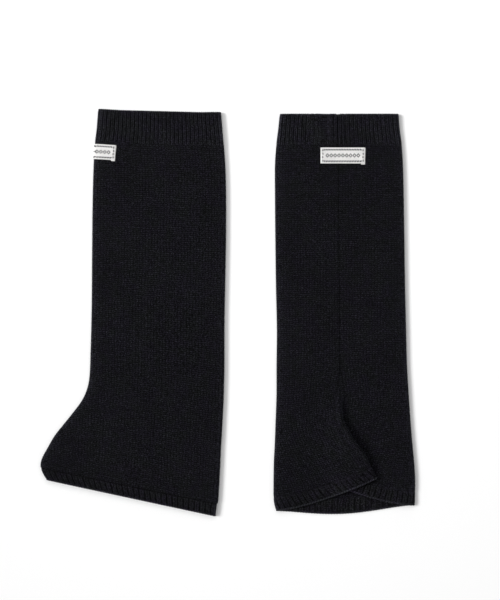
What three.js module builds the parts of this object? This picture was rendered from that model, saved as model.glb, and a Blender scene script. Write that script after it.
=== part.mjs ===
// A pair of knitted leg warmers, laid flat side by side.
// Millimetres, +Z up, +Y towards the cuffs. The underside of the cloth lies on z = 0.
// Each leg warmer is a flattened tube: a back layer on the surface and a front layer on top of it.
// The left one lies on its side, with its instep flare spread out to the left.
// The right one lies on its back, with the flare folded over to the right as a flap.

import * as THREE from "three";

// The cloth
const WALL = 2;
const HALF_WALL = WALL / 2;
const GAP = 0.3;
const LAYER_GAP = 0.5;
const LAYER = WALL + LAYER_GAP;
const BACK_Z = HALF_WALL;
const FRONT_Z = BACK_Z + LAYER;
const FOLD_CUT = LAYER / 2;
const FOLD_ARC = 3;
const SEAM_GROOVE = 0.6;
const SEAM_EDGE = 3.2;

// The ribbed bands
const RIB_PITCH = 4.2;
const RIB_HEIGHT = 0.9;
const CUFF_CREST = 0.3;
const CREST_START = 0.2;

// The labels, with the room that the one round the fold takes under the tube
const LABEL = { width: 46.8, height: 16.6, thick: 0.5 };
const RIGHT_LABEL = { down: 35.8, middle: 119.1 };
const LABEL_OUT = HALF_WALL + GAP;
const LABEL_ROOM = LABEL.thick + GAP;
const LABEL_PAST_FOLD = 3.2;
const LABEL_CUTS = { across: 6, down: 2 };
const ROOM = { start: 1.2, full: 54, fade: 13, across: 40 };

// Where the pair stands: the cuffs' top edges above the pair's centre
const LEFT_TOP = 208.5;
const RIGHT_TOP = 206.65;

// The left leg warmer's sections. down: distance below the cuff's top edge, on the back fold. seam and back: x of
// the seam fold and of the back fold. tilt: how many degrees the section's line drops from seam to back.
const LEFT_SECTIONS = [
  { down: 0, seam: -134.9, back: -7.1, tilt: 1.5 },
  { down: 22, seam: -136.7, back: -5.2, tilt: 1.4 },
  { down: 35, seam: -138.3, back: -4.2, tilt: 1.4 },
  { down: 67, seam: -140.1, back: -2.4, tilt: 2.1 },
  { down: 114, seam: -141.1, back: -2.0, tilt: 3.1 },
  { down: 166, seam: -141.5, back: -2.7, tilt: 4.5 },
  { down: 218, seam: -141.9, back: -3.7, tilt: 5.8 },
  { down: 264, seam: -143.0, back: -3.8, tilt: 6.8 },
  { down: 295, seam: -144.3, back: -4.5, tilt: 7.5 },
  { down: 311, seam: -147.7, back: -5.2, tilt: 8.0 },
  { down: 324, seam: -153.3, back: -5.9, tilt: 8.5 },
  { down: 337, seam: -161.2, back: -6.6, tilt: 9.0 },
  { down: 352, seam: -170.9, back: -7.5, tilt: 9.5 },
  { down: 367, seam: -180.2, back: -8.1, tilt: 10.1 },
  { down: 383, seam: -187.9, back: -8.9, tilt: 10.6 },
  { down: 395, seam: -193.2, back: -9.6, tilt: 11.0 },
  { down: 404, seam: -195.1, back: -10.2, tilt: 11.4 },
  { down: 411, seam: -193.7, back: -11.4, tilt: 11.7 },
  { down: 420.6, seam: -188.6, back: -12.6, tilt: 12.2 },
];

// The right leg warmer's sections. down: distance below the cuff's top edge, at the side folds. left and right: x of
// the side folds. tilt: how many degrees the section's line rises from left to right. lift: how much higher than the
// folds the front seam ends, and drop: how much lower the middle of the back does. crease: x of the hidden crease at
// the foot of the flap. flap: length of the flap from its crease to the seam. lean: degrees by which the flap
// rises from the layer under it, so that 0 lies flat.
const RIGHT_SECTIONS = [
  { down: 0, left: 53.8, right: 177.3, tilt: 0, lift: 0, drop: 0, crease: 114, flap: 0, lean: 85 },
  { down: 17, left: 52.0, right: 178.5, tilt: 0, lift: 0, drop: 0, crease: 114, flap: 0, lean: 85 },
  { down: 32, left: 50.2, right: 180.4, tilt: 0, lift: 0, drop: 0.2, crease: 114.4, flap: 0, lean: 85 },
  { down: 53, left: 48.7, right: 181.8, tilt: 0, lift: 0.3, drop: 0.4, crease: 114.6, flap: 0, lean: 85 },
  { down: 84, left: 48.7, right: 182.6, tilt: 0, lift: 0.8, drop: 0.8, crease: 115, flap: 0, lean: 85 },
  { down: 131, left: 49.1, right: 183.3, tilt: 0.1, lift: 1.5, drop: 1.4, crease: 115.3, flap: 0, lean: 85 },
  { down: 178, left: 49.7, right: 184.0, tilt: 0.3, lift: 2.2, drop: 2.0, crease: 115.7, flap: 0, lean: 85 },
  { down: 225, left: 50.7, right: 185.1, tilt: 0.5, lift: 3.1, drop: 2.8, crease: 116, flap: 0, lean: 85 },
  { down: 261, left: 50.3, right: 186.0, tilt: 0.8, lift: 4.2, drop: 3.5, crease: 116.3, flap: 0, lean: 85 },
  { down: 289, left: 50.3, right: 187.6, tilt: 1.0, lift: 6.6, drop: 4.2, crease: 116.7, flap: 0, lean: 85 },
  { down: 303, left: 49.9, right: 188.5, tilt: 1.2, lift: 8.1, drop: 4.6, crease: 117.6, flap: 1.5, lean: 77 },
  { down: 316, left: 49.4, right: 189.4, tilt: 1.3, lift: 10.1, drop: 4.9, crease: 118.2, flap: 2.8, lean: 71 },
  { down: 330, left: 48.9, right: 190.4, tilt: 1.5, lift: 12.6, drop: 5.2, crease: 119.0, flap: 4.2, lean: 61 },
  { down: 343, left: 48.4, right: 191.5, tilt: 1.7, lift: 15.6, drop: 5.5, crease: 119.9, flap: 7.0, lean: 42 },
  { down: 357, left: 47.6, right: 192.8, tilt: 1.9, lift: 18.6, drop: 5.7, crease: 121.0, flap: 11.2, lean: 27 },
  { down: 370, left: 47.3, right: 193.9, tilt: 2.0, lift: 21.7, drop: 5.9, crease: 122.2, flap: 16.9, lean: 16 },
  { down: 384, left: 47.2, right: 194.6, tilt: 2.2, lift: 25.1, drop: 6.0, crease: 123.6, flap: 21.2, lean: 9 },
  { down: 393, left: 47.2, right: 194.5, tilt: 2.2, lift: 27.3, drop: 6.0, crease: 124.7, flap: 22.6, lean: 6 },
  { down: 401.5, left: 47.9, right: 194.3, tilt: 2.3, lift: 29.0, drop: 6.0, crease: 125.7, flap: 24.8, lean: 3 },
  { down: 410.2, left: 49.8, right: 194.1, tilt: 2.3, lift: 30.4, drop: 6.0, crease: 127.0, flap: 27.0, lean: 0 },
];

// Where the bands start and end down each leg warmer, and the stations between
const LEFT_CUFF_END = 35;
const LEFT_HEM_START = 406.5;
const LEFT_END = 420.6;
const RIGHT_CUFF_END = 32.5;
const RIGHT_HEM_START = 394.5;
const RIGHT_END = 410.2;
const LEFT_CUFF_STATIONS = [12, 24];
const RIGHT_CUFF_STATIONS = [12, 23];
const LEFT_HEM_STATIONS = [413];
const RIGHT_HEM_STATIONS = [402];
const LEFT_LEG_STATIONS = [36.2, 54, 67, 90, 130, 180, 225, 265, 295, 311, 324, 337, 352, 367, 383, 395];
const RIGHT_LEG_STATIONS = [
  53, 100, 160, 215, 262, 289, 294, 298, 302, 307, 313, 321, 329, 337, 345, 353, 361, 369, 377, 385,
];

// How finely each ring is cut: plain steps across, ribs across each band, and the ribs of each part of the right hem
const STEPS = { back: 9, front: 14 };
const BAND_WIDTH = { leftCuff: 125, rightCuff: 123, leftHem: 180 };
const RIGHT_HEM_RIBS = { front: 15, underFlap: 3, overFlap: 5, ramp: 1, left: 14 };

// How the front of the right one is shaped: the side slope left of a standing flap and the ramp at its foot, and
// how the front's lift fades away from the seam and the back's drop away from a line near its middle
const RELAX = 4;
const RAMP = 22;
const RAMP_CUT = 6;
const LIFT_POWER = 1.5;
const DROP = { power: 1.5, shift: 0.03 };
const FLAP_OPEN = 3.3;
const SOFT_ARC = 2;
const LONGEST_CUT = 0.49;
const FLAT_SPREAD = { creaseIn: 9, creaseOut: 5, edge: 1.6, rampTop: -6, rampFoot: -26 };

const radians = THREE.MathUtils.degToRad;
const mix = THREE.MathUtils.lerp;
const smooth = (value) => THREE.MathUtils.smoothstep(value, 0, 1);

// One column of a table at a distance down the leg, on a smooth curve through its rows
function column(rows, name, down) {
  const last = rows.length - 1;
  const found = rows.findIndex((row) => row.down > down);
  const after = found < 0 ? last : Math.max(found, 1);
  const slopeAt = (i) => {
    const low = rows[Math.max(i - 1, 0)];
    const high = rows[Math.min(i + 1, last)];
    return (high[name] - low[name]) / (high.down - low.down);
  };
  const a = rows[after - 1];
  const b = rows[after];
  const span = b.down - a.down;
  const t = (down - a.down) / span;
  const rise = t * t * (3 - 2 * t);
  const startSlope = t * (1 - t) * (1 - t) * span * slopeAt(after - 1);
  const endSlope = t * t * (1 - t) * span * slopeAt(after);
  return a[name] + rise * (b[name] - a[name]) + startSlope - endSlope;
}

// All columns of a table at a distance down the leg
function sectionAt(rows, down) {
  const section = {};
  for (const name of Object.keys(rows[0])) section[name] = column(rows, name, down);
  section.down = down;
  return section;
}

// The stretch after a corner, from 0 to 1: plain, or ribbed with a groove between each two crests
function stretchSteps({ steps = 1, ribs = 0 }) {
  const points = [];
  for (let i = 1; i < steps; i += 1) points.push({ t: i / steps, relief: 0, inside: true });
  for (let i = 0; i < ribs; i += 1) {
    points.push({ t: (i + CREST_START) / ribs, relief: 0, inside: false });
    points.push({ t: (i + 1 - CREST_START) / ribs, relief: 0, inside: false });
    if (i < ribs - 1) points.push({ t: (i + 1) / ribs, relief: -RIB_HEIGHT, inside: true });
  }
  return points;
}

// A closed ring through rounded corners, as points { x, z, relief, inside } of the cloth's middle. Each corner is a
// circular arc that starts and ends at the corner's cut along its two sides. Where two corners are joined, their
// arcs meet in the middle of the side between them.
function ringThrough(corners) {
  const at = (i) => corners[(i + corners.length) % corners.length];
  const side = (i) => {
    const start = at(i);
    const end = at(i + 1);
    const length = Math.hypot(end.x - start.x, end.z - start.z);
    return { length, x: (end.x - start.x) / length, z: (end.z - start.z) / length };
  };
  const arcs = corners.map((corner, i) => {
    const into = side(i - 1);
    const out = side(i);
    const room = (length, joined) => length * (joined ? 0.5 : LONGEST_CUT);
    const roomBefore = room(into.length, at(i - 1).stretch.joined);
    const cut = Math.min(corner.cut, roomBefore, room(out.length, corner.stretch.joined));
    const start = { x: corner.x - cut * into.x, z: corner.z - cut * into.z };
    const end = { x: corner.x + cut * out.x, z: corner.z + cut * out.z };
    const weight = Math.sqrt(Math.max(0, (1 + into.x * out.x + into.z * out.z) / 2));
    const points = [];
    const lastPoint = corner.stretch.joined ? corner.arc - 1 : corner.arc;
    for (let k = 0; k <= lastPoint; k += 1) {
      const t = k / corner.arc;
      const parts = [(1 - t) * (1 - t), 2 * t * (1 - t) * weight, t * t];
      const whole = parts[0] + parts[1] + parts[2];
      points.push({
        x: (parts[0] * start.x + parts[1] * corner.x + parts[2] * end.x) / whole,
        z: (parts[0] * start.z + parts[1] * corner.z + parts[2] * end.z) / whole,
        relief: k === 0 && corner.groove ? -corner.groove : 0,
        inside: true,
      });
    }
    return points;
  });
  const ring = [];
  arcs.forEach((arc, i) => {
    const from = arc[arc.length - 1];
    const to = arcs[(i + 1) % arcs.length][0];
    ring.push(...arc);
    for (const step of stretchSteps(corners[i].stretch)) {
      ring.push({ ...step, x: mix(from.x, to.x, step.t), z: mix(from.z, to.z, step.t) });
    }
  });
  return ring;
}

// The four corners of a flattened tube of a width, from the back layer's left end round to the front's left end
function tubeCorners(width, backStretch, frontCorners, endStretch) {
  const fold = { cut: FOLD_CUT, arc: FOLD_ARC };
  const turn = { joined: true };
  return [
    { ...fold, x: HALF_WALL, z: BACK_Z, stretch: backStretch },
    { ...fold, x: width - HALF_WALL, z: BACK_Z, stretch: turn },
    { ...fold, x: width - HALF_WALL, z: FRONT_Z, stretch: endStretch },
    ...frontCorners,
    { ...fold, x: HALF_WALL, z: FRONT_Z, stretch: turn },
  ];
}

// How far the tube is raised off the surface where the label goes round under the fold
function labelRoom(down, across) {
  const along = smooth((down - LEFT_CUFF_END) / ROOM.start) * (1 - smooth((down - ROOM.full) / ROOM.fade));
  const inFromFold = 1 - smooth((across - ROOM.across) / ROOM.fade);
  return LABEL_ROOM * along * inFromFold;
}

// The left one's ring at a distance down the leg, as points of the pair
function leftRing(down, stretches) {
  const section = sectionAt(LEFT_SECTIONS, down);
  const tilt = radians(section.tilt);
  const width = (section.back - section.seam) / Math.cos(tilt);
  const backY = LEFT_TOP - down;
  const ring = ringThrough(tubeCorners(width, stretches.back, [], stretches.front));
  const downward = new THREE.Vector3(-Math.sin(tilt), -Math.cos(tilt), 0);
  return ring.map((point) => {
    const position = new THREE.Vector3(
      section.back - (width - point.x) * Math.cos(tilt),
      backY + (width - point.x) * Math.sin(tilt),
      point.z + labelRoom(down, point.x),
    );
    return { ...point, position, downward };
  });
}

// The corners of the right one's front between its side folds: the flap's crease, its seam edge and its ramp
function flapCorners(section, stretches) {
  const lean = radians(section.lean);
  const crease = section.crease - section.left;
  const open = smooth(section.flap / FLAP_OPEN);
  const along = { x: Math.cos(lean), z: Math.sin(lean) };
  const up = { x: -along.z, z: along.x };
  const creaseTurn = Math.PI / 2 + lean / 2;
  const step = (from, length, direction) => ({ x: from.x + length * direction.x, z: from.z + length * direction.z });
  const heading = (angle) => ({ x: Math.cos(angle), z: Math.sin(angle) });
  const creaseIn = { x: crease, z: FRONT_Z };
  const creaseOut = step(creaseIn, LAYER, heading(creaseTurn));
  const edgeIn = step(creaseOut, section.flap, along);
  const rampTop = step(creaseOut, LAYER, up);
  rampTop.x -= RELAX * along.z;
  const slope = Math.atan2(edgeIn.z - rampTop.z + SEAM_EDGE * along.x, edgeIn.x - rampTop.x);
  const edgeOut = step(edgeIn, SEAM_EDGE, heading(Math.PI / 2 + (lean + slope) / 2));
  const rampFoot = { x: rampTop.x - RAMP, z: FRONT_Z };
  const flat = (offset) => ({ x: crease + offset, z: FRONT_Z });
  const blend = (spread, folded) => ({ x: mix(flat(spread).x, folded.x, open), z: mix(FRONT_Z, folded.z, open) });
  const tight = { cut: FOLD_CUT, arc: SOFT_ARC };
  const edge = { cut: SEAM_EDGE / 2, arc: FOLD_ARC };
  const soft = { cut: RAMP_CUT, arc: SOFT_ARC };
  return [
    { ...tight, ...blend(FLAT_SPREAD.creaseIn, creaseIn), stretch: { joined: true } },
    { ...tight, ...blend(FLAT_SPREAD.creaseOut, creaseOut), stretch: stretches.underFlap },
    { ...edge, ...blend(FLAT_SPREAD.edge, edgeIn), stretch: { joined: true } },
    { ...edge, ...blend(-FLAT_SPREAD.edge, edgeOut), stretch: stretches.overFlap, groove: SEAM_GROOVE },
    { ...soft, ...blend(FLAT_SPREAD.rampTop, rampTop), stretch: stretches.ramp },
    { ...soft, ...blend(FLAT_SPREAD.rampFoot, rampFoot), stretch: stretches.left },
  ];
}

// How far round a ring each point lies from the seam, as a share of the front's half or of the back's
function sharesFromSeam(ring) {
  const seam = ring.findIndex((point) => point.relief === -SEAM_GROOVE);
  const backCount = ring.findIndex((point) => point.z > (BACK_Z + FRONT_Z) / 2);
  const reach = ring.map(() => 0);
  for (let i = seam + 1; i < ring.length; i += 1) {
    reach[i] = reach[i - 1] + Math.hypot(ring[i].x - ring[i - 1].x, ring[i].z - ring[i - 1].z);
  }
  for (let i = seam - 1; i >= backCount; i -= 1) {
    reach[i] = reach[i + 1] + Math.hypot(ring[i].x - ring[i + 1].x, ring[i].z - ring[i + 1].z);
  }
  return ring.map((point, i) => {
    if (i < backCount) return { front: false, share: 0 };
    const half = i < seam ? reach[backCount] : reach[ring.length - 1];
    return { front: true, share: Math.min(reach[i] / half, 1) };
  });
}

// The right one's ring at a distance down the leg, as points of the pair
function rightRing(down, stretches) {
  const section = sectionAt(RIGHT_SECTIONS, down);
  const width = section.right - section.left;
  const middleY = RIGHT_TOP - down;
  const rise = Math.tan(radians(section.tilt));
  const front = stretches.plain ? [] : flapCorners(section, stretches);
  const ring = ringThrough(tubeCorners(width, stretches.back, front, stretches.front));
  const shares = stretches.plain ? null : sharesFromSeam(ring);
  const downward = new THREE.Vector3(0, -1, 0);
  return ring.map((point, i) => {
    const fromMiddle = point.x / width - 0.5;
    const back = point.z < (BACK_Z + FRONT_Z) / 2;
    const hang = Math.max(Math.cos(Math.PI * (fromMiddle + DROP.shift)), 0);
    const backDrop = section.drop * hang ** DROP.power;
    const frontLift = shares && shares[i].front ? section.lift * (1 - shares[i].share) ** LIFT_POWER : 0;
    const position = new THREE.Vector3(
      section.left + point.x,
      middleY + rise * width * fromMiddle + (back ? -backDrop : frontLift),
      point.z,
    );
    return { ...point, position, downward };
  });
}

// The outward direction at each point of a stack of rings, longer at a bend so that the wall keeps its thickness.
// At both ends it stays in the ring's own section, so that two pieces meet squarely.
function outwardAt(rings, row, i) {
  const ring = rings[row];
  const here = ring[i].position;
  const next = ring[(i + 1) % ring.length].position.clone().sub(here).normalize();
  const before = here.clone().sub(ring[(i + ring.length - 1) % ring.length].position).normalize();
  const atEnd = row === 0 || row === rings.length - 1;
  const downward = atEnd ? ring[i].downward : rings[row + 1][i].position.clone().sub(rings[row - 1][i].position);
  const around = next.clone().add(before).normalize();
  const outward = around.cross(downward).normalize();
  const halfTurn = Math.sqrt((1 + next.dot(before)) / 2);
  return outward.divideScalar(halfTurn);
}

// A closed solid from the rings of its outer and inner faces. links says, for each outer point, which inner point
// it stands over.
function wallGeometry(outerRings, innerRings, links) {
  const vertices = [];
  const triangles = [];
  const starts = (rings) => rings.map((ring) => {
    const start = vertices.length / 3;
    for (const point of ring) vertices.push(point.x, point.y, point.z);
    return start;
  });
  const outer = starts(outerRings);
  const inner = starts(innerRings);
  const outerCount = outerRings[0].length;
  const innerCount = innerRings[0].length;
  const quad = (a, b, c, d) => triangles.push(a, b, c, a, c, d);
  for (let row = 0; row < outer.length - 1; row += 1) {
    for (let i = 0; i < outerCount; i += 1) {
      const j = (i + 1) % outerCount;
      quad(outer[row] + i, outer[row] + j, outer[row + 1] + j, outer[row + 1] + i);
    }
    for (let i = 0; i < innerCount; i += 1) {
      const j = (i + 1) % innerCount;
      quad(inner[row] + i, inner[row + 1] + i, inner[row + 1] + j, inner[row] + j);
    }
  }
  const rim = (outerStart, innerStart, flip) => {
    const face = (a, b, c) => (flip ? triangles.push(a, c, b) : triangles.push(a, b, c));
    for (let i = 0; i < outerCount; i += 1) {
      const j = (i + 1) % outerCount;
      face(outerStart + i, outerStart + j, innerStart + links[i]);
      if (links[j] !== links[i]) face(outerStart + j, innerStart + links[j], innerStart + links[i]);
    }
  };
  rim(outer[0], inner[0], true);
  rim(outer[outer.length - 1], inner[inner.length - 1], false);
  const geometry = new THREE.BufferGeometry();
  geometry.setAttribute("position", new THREE.Float32BufferAttribute(vertices, 3));
  geometry.setIndex(triangles);
  geometry.computeVertexNormals();
  return geometry;
}

// The wall of a tube through its rings: relief is cut into the outer face, over a plain inner face
function tubeWall(rings, crest = 0) {
  const underside = (point) => point.z < BACK_Z + FOLD_CUT / 2;
  const innerOf = rings[0].map((point, i) => (point.inside ? i : -1)).filter((i) => i >= 0);
  const links = rings[0].map((point, i) => {
    const found = innerOf.findLastIndex((index) => index <= i);
    return found < 0 ? innerOf.length - 1 : found;
  });
  const moved = (row, i, distance) => {
    const outward = outwardAt(rings, row, i);
    return rings[row][i].position.clone().addScaledVector(outward, distance);
  };
  const outerRings = rings.map((ring, row) => ring.map((point, i) => {
    const raised = underside(point) ? 0 : crest;
    return moved(row, i, HALF_WALL + raised + point.relief);
  }));
  const innerRings = rings.map((ring, row) => innerOf.map((i) => moved(row, i, -HALF_WALL)));
  return wallGeometry(outerRings, innerRings, links);
}

// Rings at each station of a piece, with the gap to its neighbours left at both ends
function ringsOf(makeRing, from, stations, to, stretches) {
  const start = from === 0 ? 0 : from + GAP / 2;
  const end = to.last ? to.at : to.at - GAP / 2;
  return [start, ...stations, end].map((down) => makeRing(down, stretches));
}

// The stretches of a ring: a plain one, and one with ribs all across its front
const PLAIN = { back: { steps: STEPS.back }, front: { steps: STEPS.front } };
const ribbed = (width) => ({ back: PLAIN.back, front: { ribs: Math.round(width / RIB_PITCH) } });

// The stretches of the right one's flared part, each cut into as many steps or ribs as its hem has ribs there
function flaredStretches(kind) {
  const stretches = { back: PLAIN.back };
  for (const [name, count] of Object.entries(RIGHT_HEM_RIBS)) stretches[name] = { [kind]: count };
  stretches.underFlap = { steps: RIGHT_HEM_RIBS.underFlap };
  return stretches;
}

function leftCuff() {
  const stretches = ribbed(BAND_WIDTH.leftCuff);
  return tubeWall(ringsOf(leftRing, 0, LEFT_CUFF_STATIONS, { at: LEFT_CUFF_END }, stretches), CUFF_CREST);
}

function leftLeg() {
  return tubeWall(ringsOf(leftRing, LEFT_CUFF_END, LEFT_LEG_STATIONS, { at: LEFT_HEM_START }, PLAIN));
}

function leftHem() {
  const stretches = ribbed(BAND_WIDTH.leftHem);
  return tubeWall(ringsOf(leftRing, LEFT_HEM_START, LEFT_HEM_STATIONS, { at: LEFT_END, last: true }, stretches));
}

function rightCuff() {
  const stretches = { ...ribbed(BAND_WIDTH.rightCuff), plain: true };
  return tubeWall(ringsOf(rightRing, 0, RIGHT_CUFF_STATIONS, { at: RIGHT_CUFF_END }, stretches), CUFF_CREST);
}

function rightLeg() {
  const rings = ringsOf(
    rightRing, RIGHT_CUFF_END, RIGHT_LEG_STATIONS, { at: RIGHT_HEM_START }, flaredStretches("steps"),
  );
  return tubeWall(rings);
}

function rightHem() {
  const rings = ringsOf(
    rightRing, RIGHT_HEM_START, RIGHT_HEM_STATIONS, { at: RIGHT_END, last: true }, flaredStretches("ribs"),
  );
  return tubeWall(rings);
}

// A thin closed strip that lies over a grid of cloth points, moved out from them
function stripOver(grid) {
  const face = (distance) => grid.map((row) => row.map(({ position, outward }) => (
    position.clone().addScaledVector(outward, distance)
  )));
  const bottom = face(LABEL_OUT);
  const top = face(LABEL_OUT + LABEL.thick);
  const rings = grid.map((row, i) => [...bottom[i]].reverse().concat(top[i]));
  const vertices = rings.flat().flatMap((point) => point.toArray());
  const count = rings[0].length;
  const triangles = [];
  const quad = (a, b, c, d) => triangles.push(a, b, c, a, c, d);
  for (let row = 0; row < rings.length - 1; row += 1) {
    for (let i = 0; i < count; i += 1) {
      const j = (i + 1) % count;
      quad(row * count + i, row * count + j, (row + 1) * count + j, (row + 1) * count + i);
    }
  }
  const lastRow = (rings.length - 1) * count;
  for (let i = 0; i < count / 2 - 1; i += 1) {
    const opposite = count - 1 - i;
    quad(i, opposite, opposite - 1, i + 1);
    quad(lastRow + i, lastRow + i + 1, lastRow + opposite - 1, lastRow + opposite);
  }
  const geometry = new THREE.BufferGeometry();
  geometry.setAttribute("position", new THREE.Float32BufferAttribute(vertices, 3));
  geometry.setIndex(triangles);
  geometry.computeVertexNormals();
  return geometry;
}

// Cloth points of one ring from a start to an end distance round it, both measured from a point of it
function stretchOfRing(rings, row, first, start, end) {
  const ring = rings[row];
  const wrap = (i) => (i + ring.length) % ring.length;
  const at = (i) => ({ position: ring[wrap(i)].position, outward: outwardAt(rings, row, wrap(i)) });
  const between = (a, b, t) => ({
    position: a.position.clone().lerp(b.position, t),
    outward: a.outward.clone().lerp(b.outward, t),
  });
  const walk = (direction, limit) => {
    const points = [];
    let reached = 0;
    for (let i = first; ; i += direction) {
      const here = at(i);
      const next = at(i + direction);
      const length = here.position.distanceTo(next.position);
      if (reached + length >= limit) {
        points.push(between(here, next, (limit - reached) / length));
        return points;
      }
      reached += length;
      points.push(next);
    }
  };
  return [...walk(-1, -start).reverse(), at(first), ...walk(1, end)];
}

// The label round the left one's seam fold, half on the front and half underneath
function leftLabel() {
  const top = LEFT_CUFF_END + ROOM.start;
  const rows = Array.from({ length: LABEL_CUTS.down + 1 }, (unused, i) => top + (LABEL.height * i) / LABEL_CUTS.down);
  const rings = rows.map((down) => leftRing(down, PLAIN));
  const start = LABEL_PAST_FOLD - LABEL.width / 2;
  const lastCorner = rings[0].length - FOLD_ARC;
  return stripOver(rings.map((ring, row) => stretchOfRing(rings, row, lastCorner, start, start + LABEL.width)));
}

// The label across the right one's front seam
function rightLabel() {
  const top = RIGHT_TOP - RIGHT_LABEL.down;
  const right = RIGHT_LABEL.middle + LABEL.width / 2;
  const outward = new THREE.Vector3(0, 0, 1);
  const grid = [];
  for (let row = 0; row <= LABEL_CUTS.down; row += 1) {
    const y = top - (LABEL.height * row) / LABEL_CUTS.down;
    const line = [];
    for (let i = 0; i <= LABEL_CUTS.across; i += 1) {
      const x = right - (LABEL.width * i) / LABEL_CUTS.across;
      line.push({ position: new THREE.Vector3(x, y, FRONT_Z), outward });
    }
    grid.push(line);
  }
  return stripOver(grid);
}

const knit = () => new THREE.MeshStandardMaterial({ color: 0x17171b, roughness: 0.95, metalness: 0 });
const woven = () => new THREE.MeshStandardMaterial({ color: 0xe8e6e0, roughness: 0.7, metalness: 0 });

// One named piece of the pair
function piece(name, geometry, material) {
  const mesh = new THREE.Mesh(geometry, material);
  mesh.name = name;
  return mesh;
}

const pair = new THREE.Group();
pair.add(
  piece("left_cuff", leftCuff(), knit()),
  piece("left_leg", leftLeg(), knit()),
  piece("left_hem", leftHem(), knit()),
  piece("left_label", leftLabel(), woven()),
  piece("right_cuff", rightCuff(), knit()),
  piece("right_leg", rightLeg(), knit()),
  piece("right_hem", rightHem(), knit()),
  piece("right_label", rightLabel(), woven()),
);

export default pair;
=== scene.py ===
"""A pair of black knitted leg warmers laid flat side by side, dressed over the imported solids.

Sizes are in millimetres, in the same frame as the solids: +X to the right, +Y towards the cuffs, +Z up off
the surface. Meshes are made in metres. Each leg warmer is a flattened tube of three knitted pieces, its
cuff, leg and hem, worked out as a grid of points down the leg and round the tube.
"""

import logging
import math
from dataclasses import dataclass, field, replace
from enum import Enum
from typing import Optional, Sequence

import bpy
import numpy as np
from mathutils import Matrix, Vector

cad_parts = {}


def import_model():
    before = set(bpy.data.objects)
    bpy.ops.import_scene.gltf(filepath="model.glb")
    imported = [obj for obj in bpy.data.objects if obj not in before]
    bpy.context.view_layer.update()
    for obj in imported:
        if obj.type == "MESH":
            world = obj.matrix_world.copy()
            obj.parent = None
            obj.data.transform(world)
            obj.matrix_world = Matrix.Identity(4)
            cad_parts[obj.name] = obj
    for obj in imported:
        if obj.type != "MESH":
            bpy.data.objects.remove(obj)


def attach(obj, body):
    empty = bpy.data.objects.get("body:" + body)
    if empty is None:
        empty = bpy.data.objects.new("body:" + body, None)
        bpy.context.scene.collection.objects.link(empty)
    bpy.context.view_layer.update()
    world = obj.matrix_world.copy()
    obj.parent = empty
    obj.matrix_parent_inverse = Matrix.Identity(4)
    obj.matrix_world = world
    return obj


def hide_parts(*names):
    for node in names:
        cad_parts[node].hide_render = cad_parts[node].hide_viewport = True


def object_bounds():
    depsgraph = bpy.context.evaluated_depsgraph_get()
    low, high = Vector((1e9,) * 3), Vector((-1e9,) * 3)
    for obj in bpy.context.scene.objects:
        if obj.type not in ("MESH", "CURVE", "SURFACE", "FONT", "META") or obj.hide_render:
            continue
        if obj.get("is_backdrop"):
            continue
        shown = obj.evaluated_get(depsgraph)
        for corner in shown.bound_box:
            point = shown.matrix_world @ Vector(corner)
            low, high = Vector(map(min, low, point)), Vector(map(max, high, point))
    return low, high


log = logging.getLogger("leg_warmers")

MM = 0.001
BODY = "root"

# The cloth, as in the solids
WALL = 2.0
HALF_WALL = WALL / 2
LAYER_GAP = 0.5
LAYER = WALL + LAYER_GAP
BACK_Z = HALF_WALL
FRONT_Z = BACK_Z + LAYER
FOLD_CUT = LAYER / 2
SEAM_EDGE = 3.2
SMOOTH_ARC = 8

# How the front lies: its waves, which fade near the folds, and how much it stands up, over what reach
WAVE = 0.35
WAVE_LIFT = 0.6
WAVE_FADE = 25.0
BELLY = 1.1
BELLY_REACH = 11.0

# The cloth's soft unevenness: each wave's length, angle and share
UNEVEN_WAVES = ((150, 0.3, 0.34), (92, 1.2, 0.26), (61, 2.3, 0.18), (40, 0.8, 0.13), (26, 1.9, 0.09))

# The stitches and the ribs
CUFF_PITCH = 4.16
HEM_PITCH = 5.85
COURSE = 2.16
RIB_DEPTH = 0.75
RIB_SWELL = 0.25
HEM_DEPTH = 0.8
HEM_SWELL = 0.1
RIB_FADE = 2.2
# How far in from the side folds the painted sheen reaches
FOLD_SHEEN_REACH = 3.0
SHARP_ANGLE = 75.0

# The front seam's groove, which is deeper on the cuff
SEAM_WIDTH = 0.8
SEAM_DEPTH = 0.65
SEAM_CUFF_DEPTH = 0.45
SEAM_CUFF_END = 30.0
SEAM_CUFF_FADE = 6.0

# How finely the cloth is cut: rows down the leg, points round it, and half of a tube's side in points
CUFF_ROW = 1.3
HEM_ROW = 0.8
LEG_ROW = 3.0
RIB_POINT = 0.42
LEG_POINT = 1.5
HALF_SIDE = 62.0
INNER_ROWS = slice(1, -1)

# Where the pair stands, and where each leg warmer's bands start and end
LEFT_TOP = 208.5
RIGHT_TOP = 206.65
LEFT_BANDS = (0.0, 35.0, 406.5, 420.6)
RIGHT_BANDS = (0.0, 32.5, 394.5, 410.2)
EDGE_CORD_RADIUS = 1.05
EDGE_CORD_POINTS = 12
EDGE_TAPER = 0.4
CUFF_TAPER_REACH = 1.6
HEM_TAPER_REACH = 2.2
HEM_FURROW_DOWN = 0.8
EDGE_INSET = 0.7

# The labels
LABEL_WIDTH = 46.3
LABEL_HEIGHT = 16.6
LABEL_THICK = 0.5
LABEL_CLEAR = 0.3
TAPE_GRID = (95, 25)
END_GRID = (9, 25)
END_START = 0.5
END_CLEAR = 0.02
CLOTH_ROWS = 49
CLOTH_POINT = 0.8
THREAD_STATIONS = 7
THREAD_POINTS = 8
THREAD_ARCH = 1.2

# The surface: where the white floor lies, and how far over it the thread stays
FLOOR_Z = -0.05
SURFACE_CLEAR = 0.05


@dataclass(frozen=True)
class LeftSection:
    """A section of the left leg warmer: its distance down, its folds' x and its line's tilt in degrees."""

    down: float
    seam: float
    back: float
    tilt: float


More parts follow.
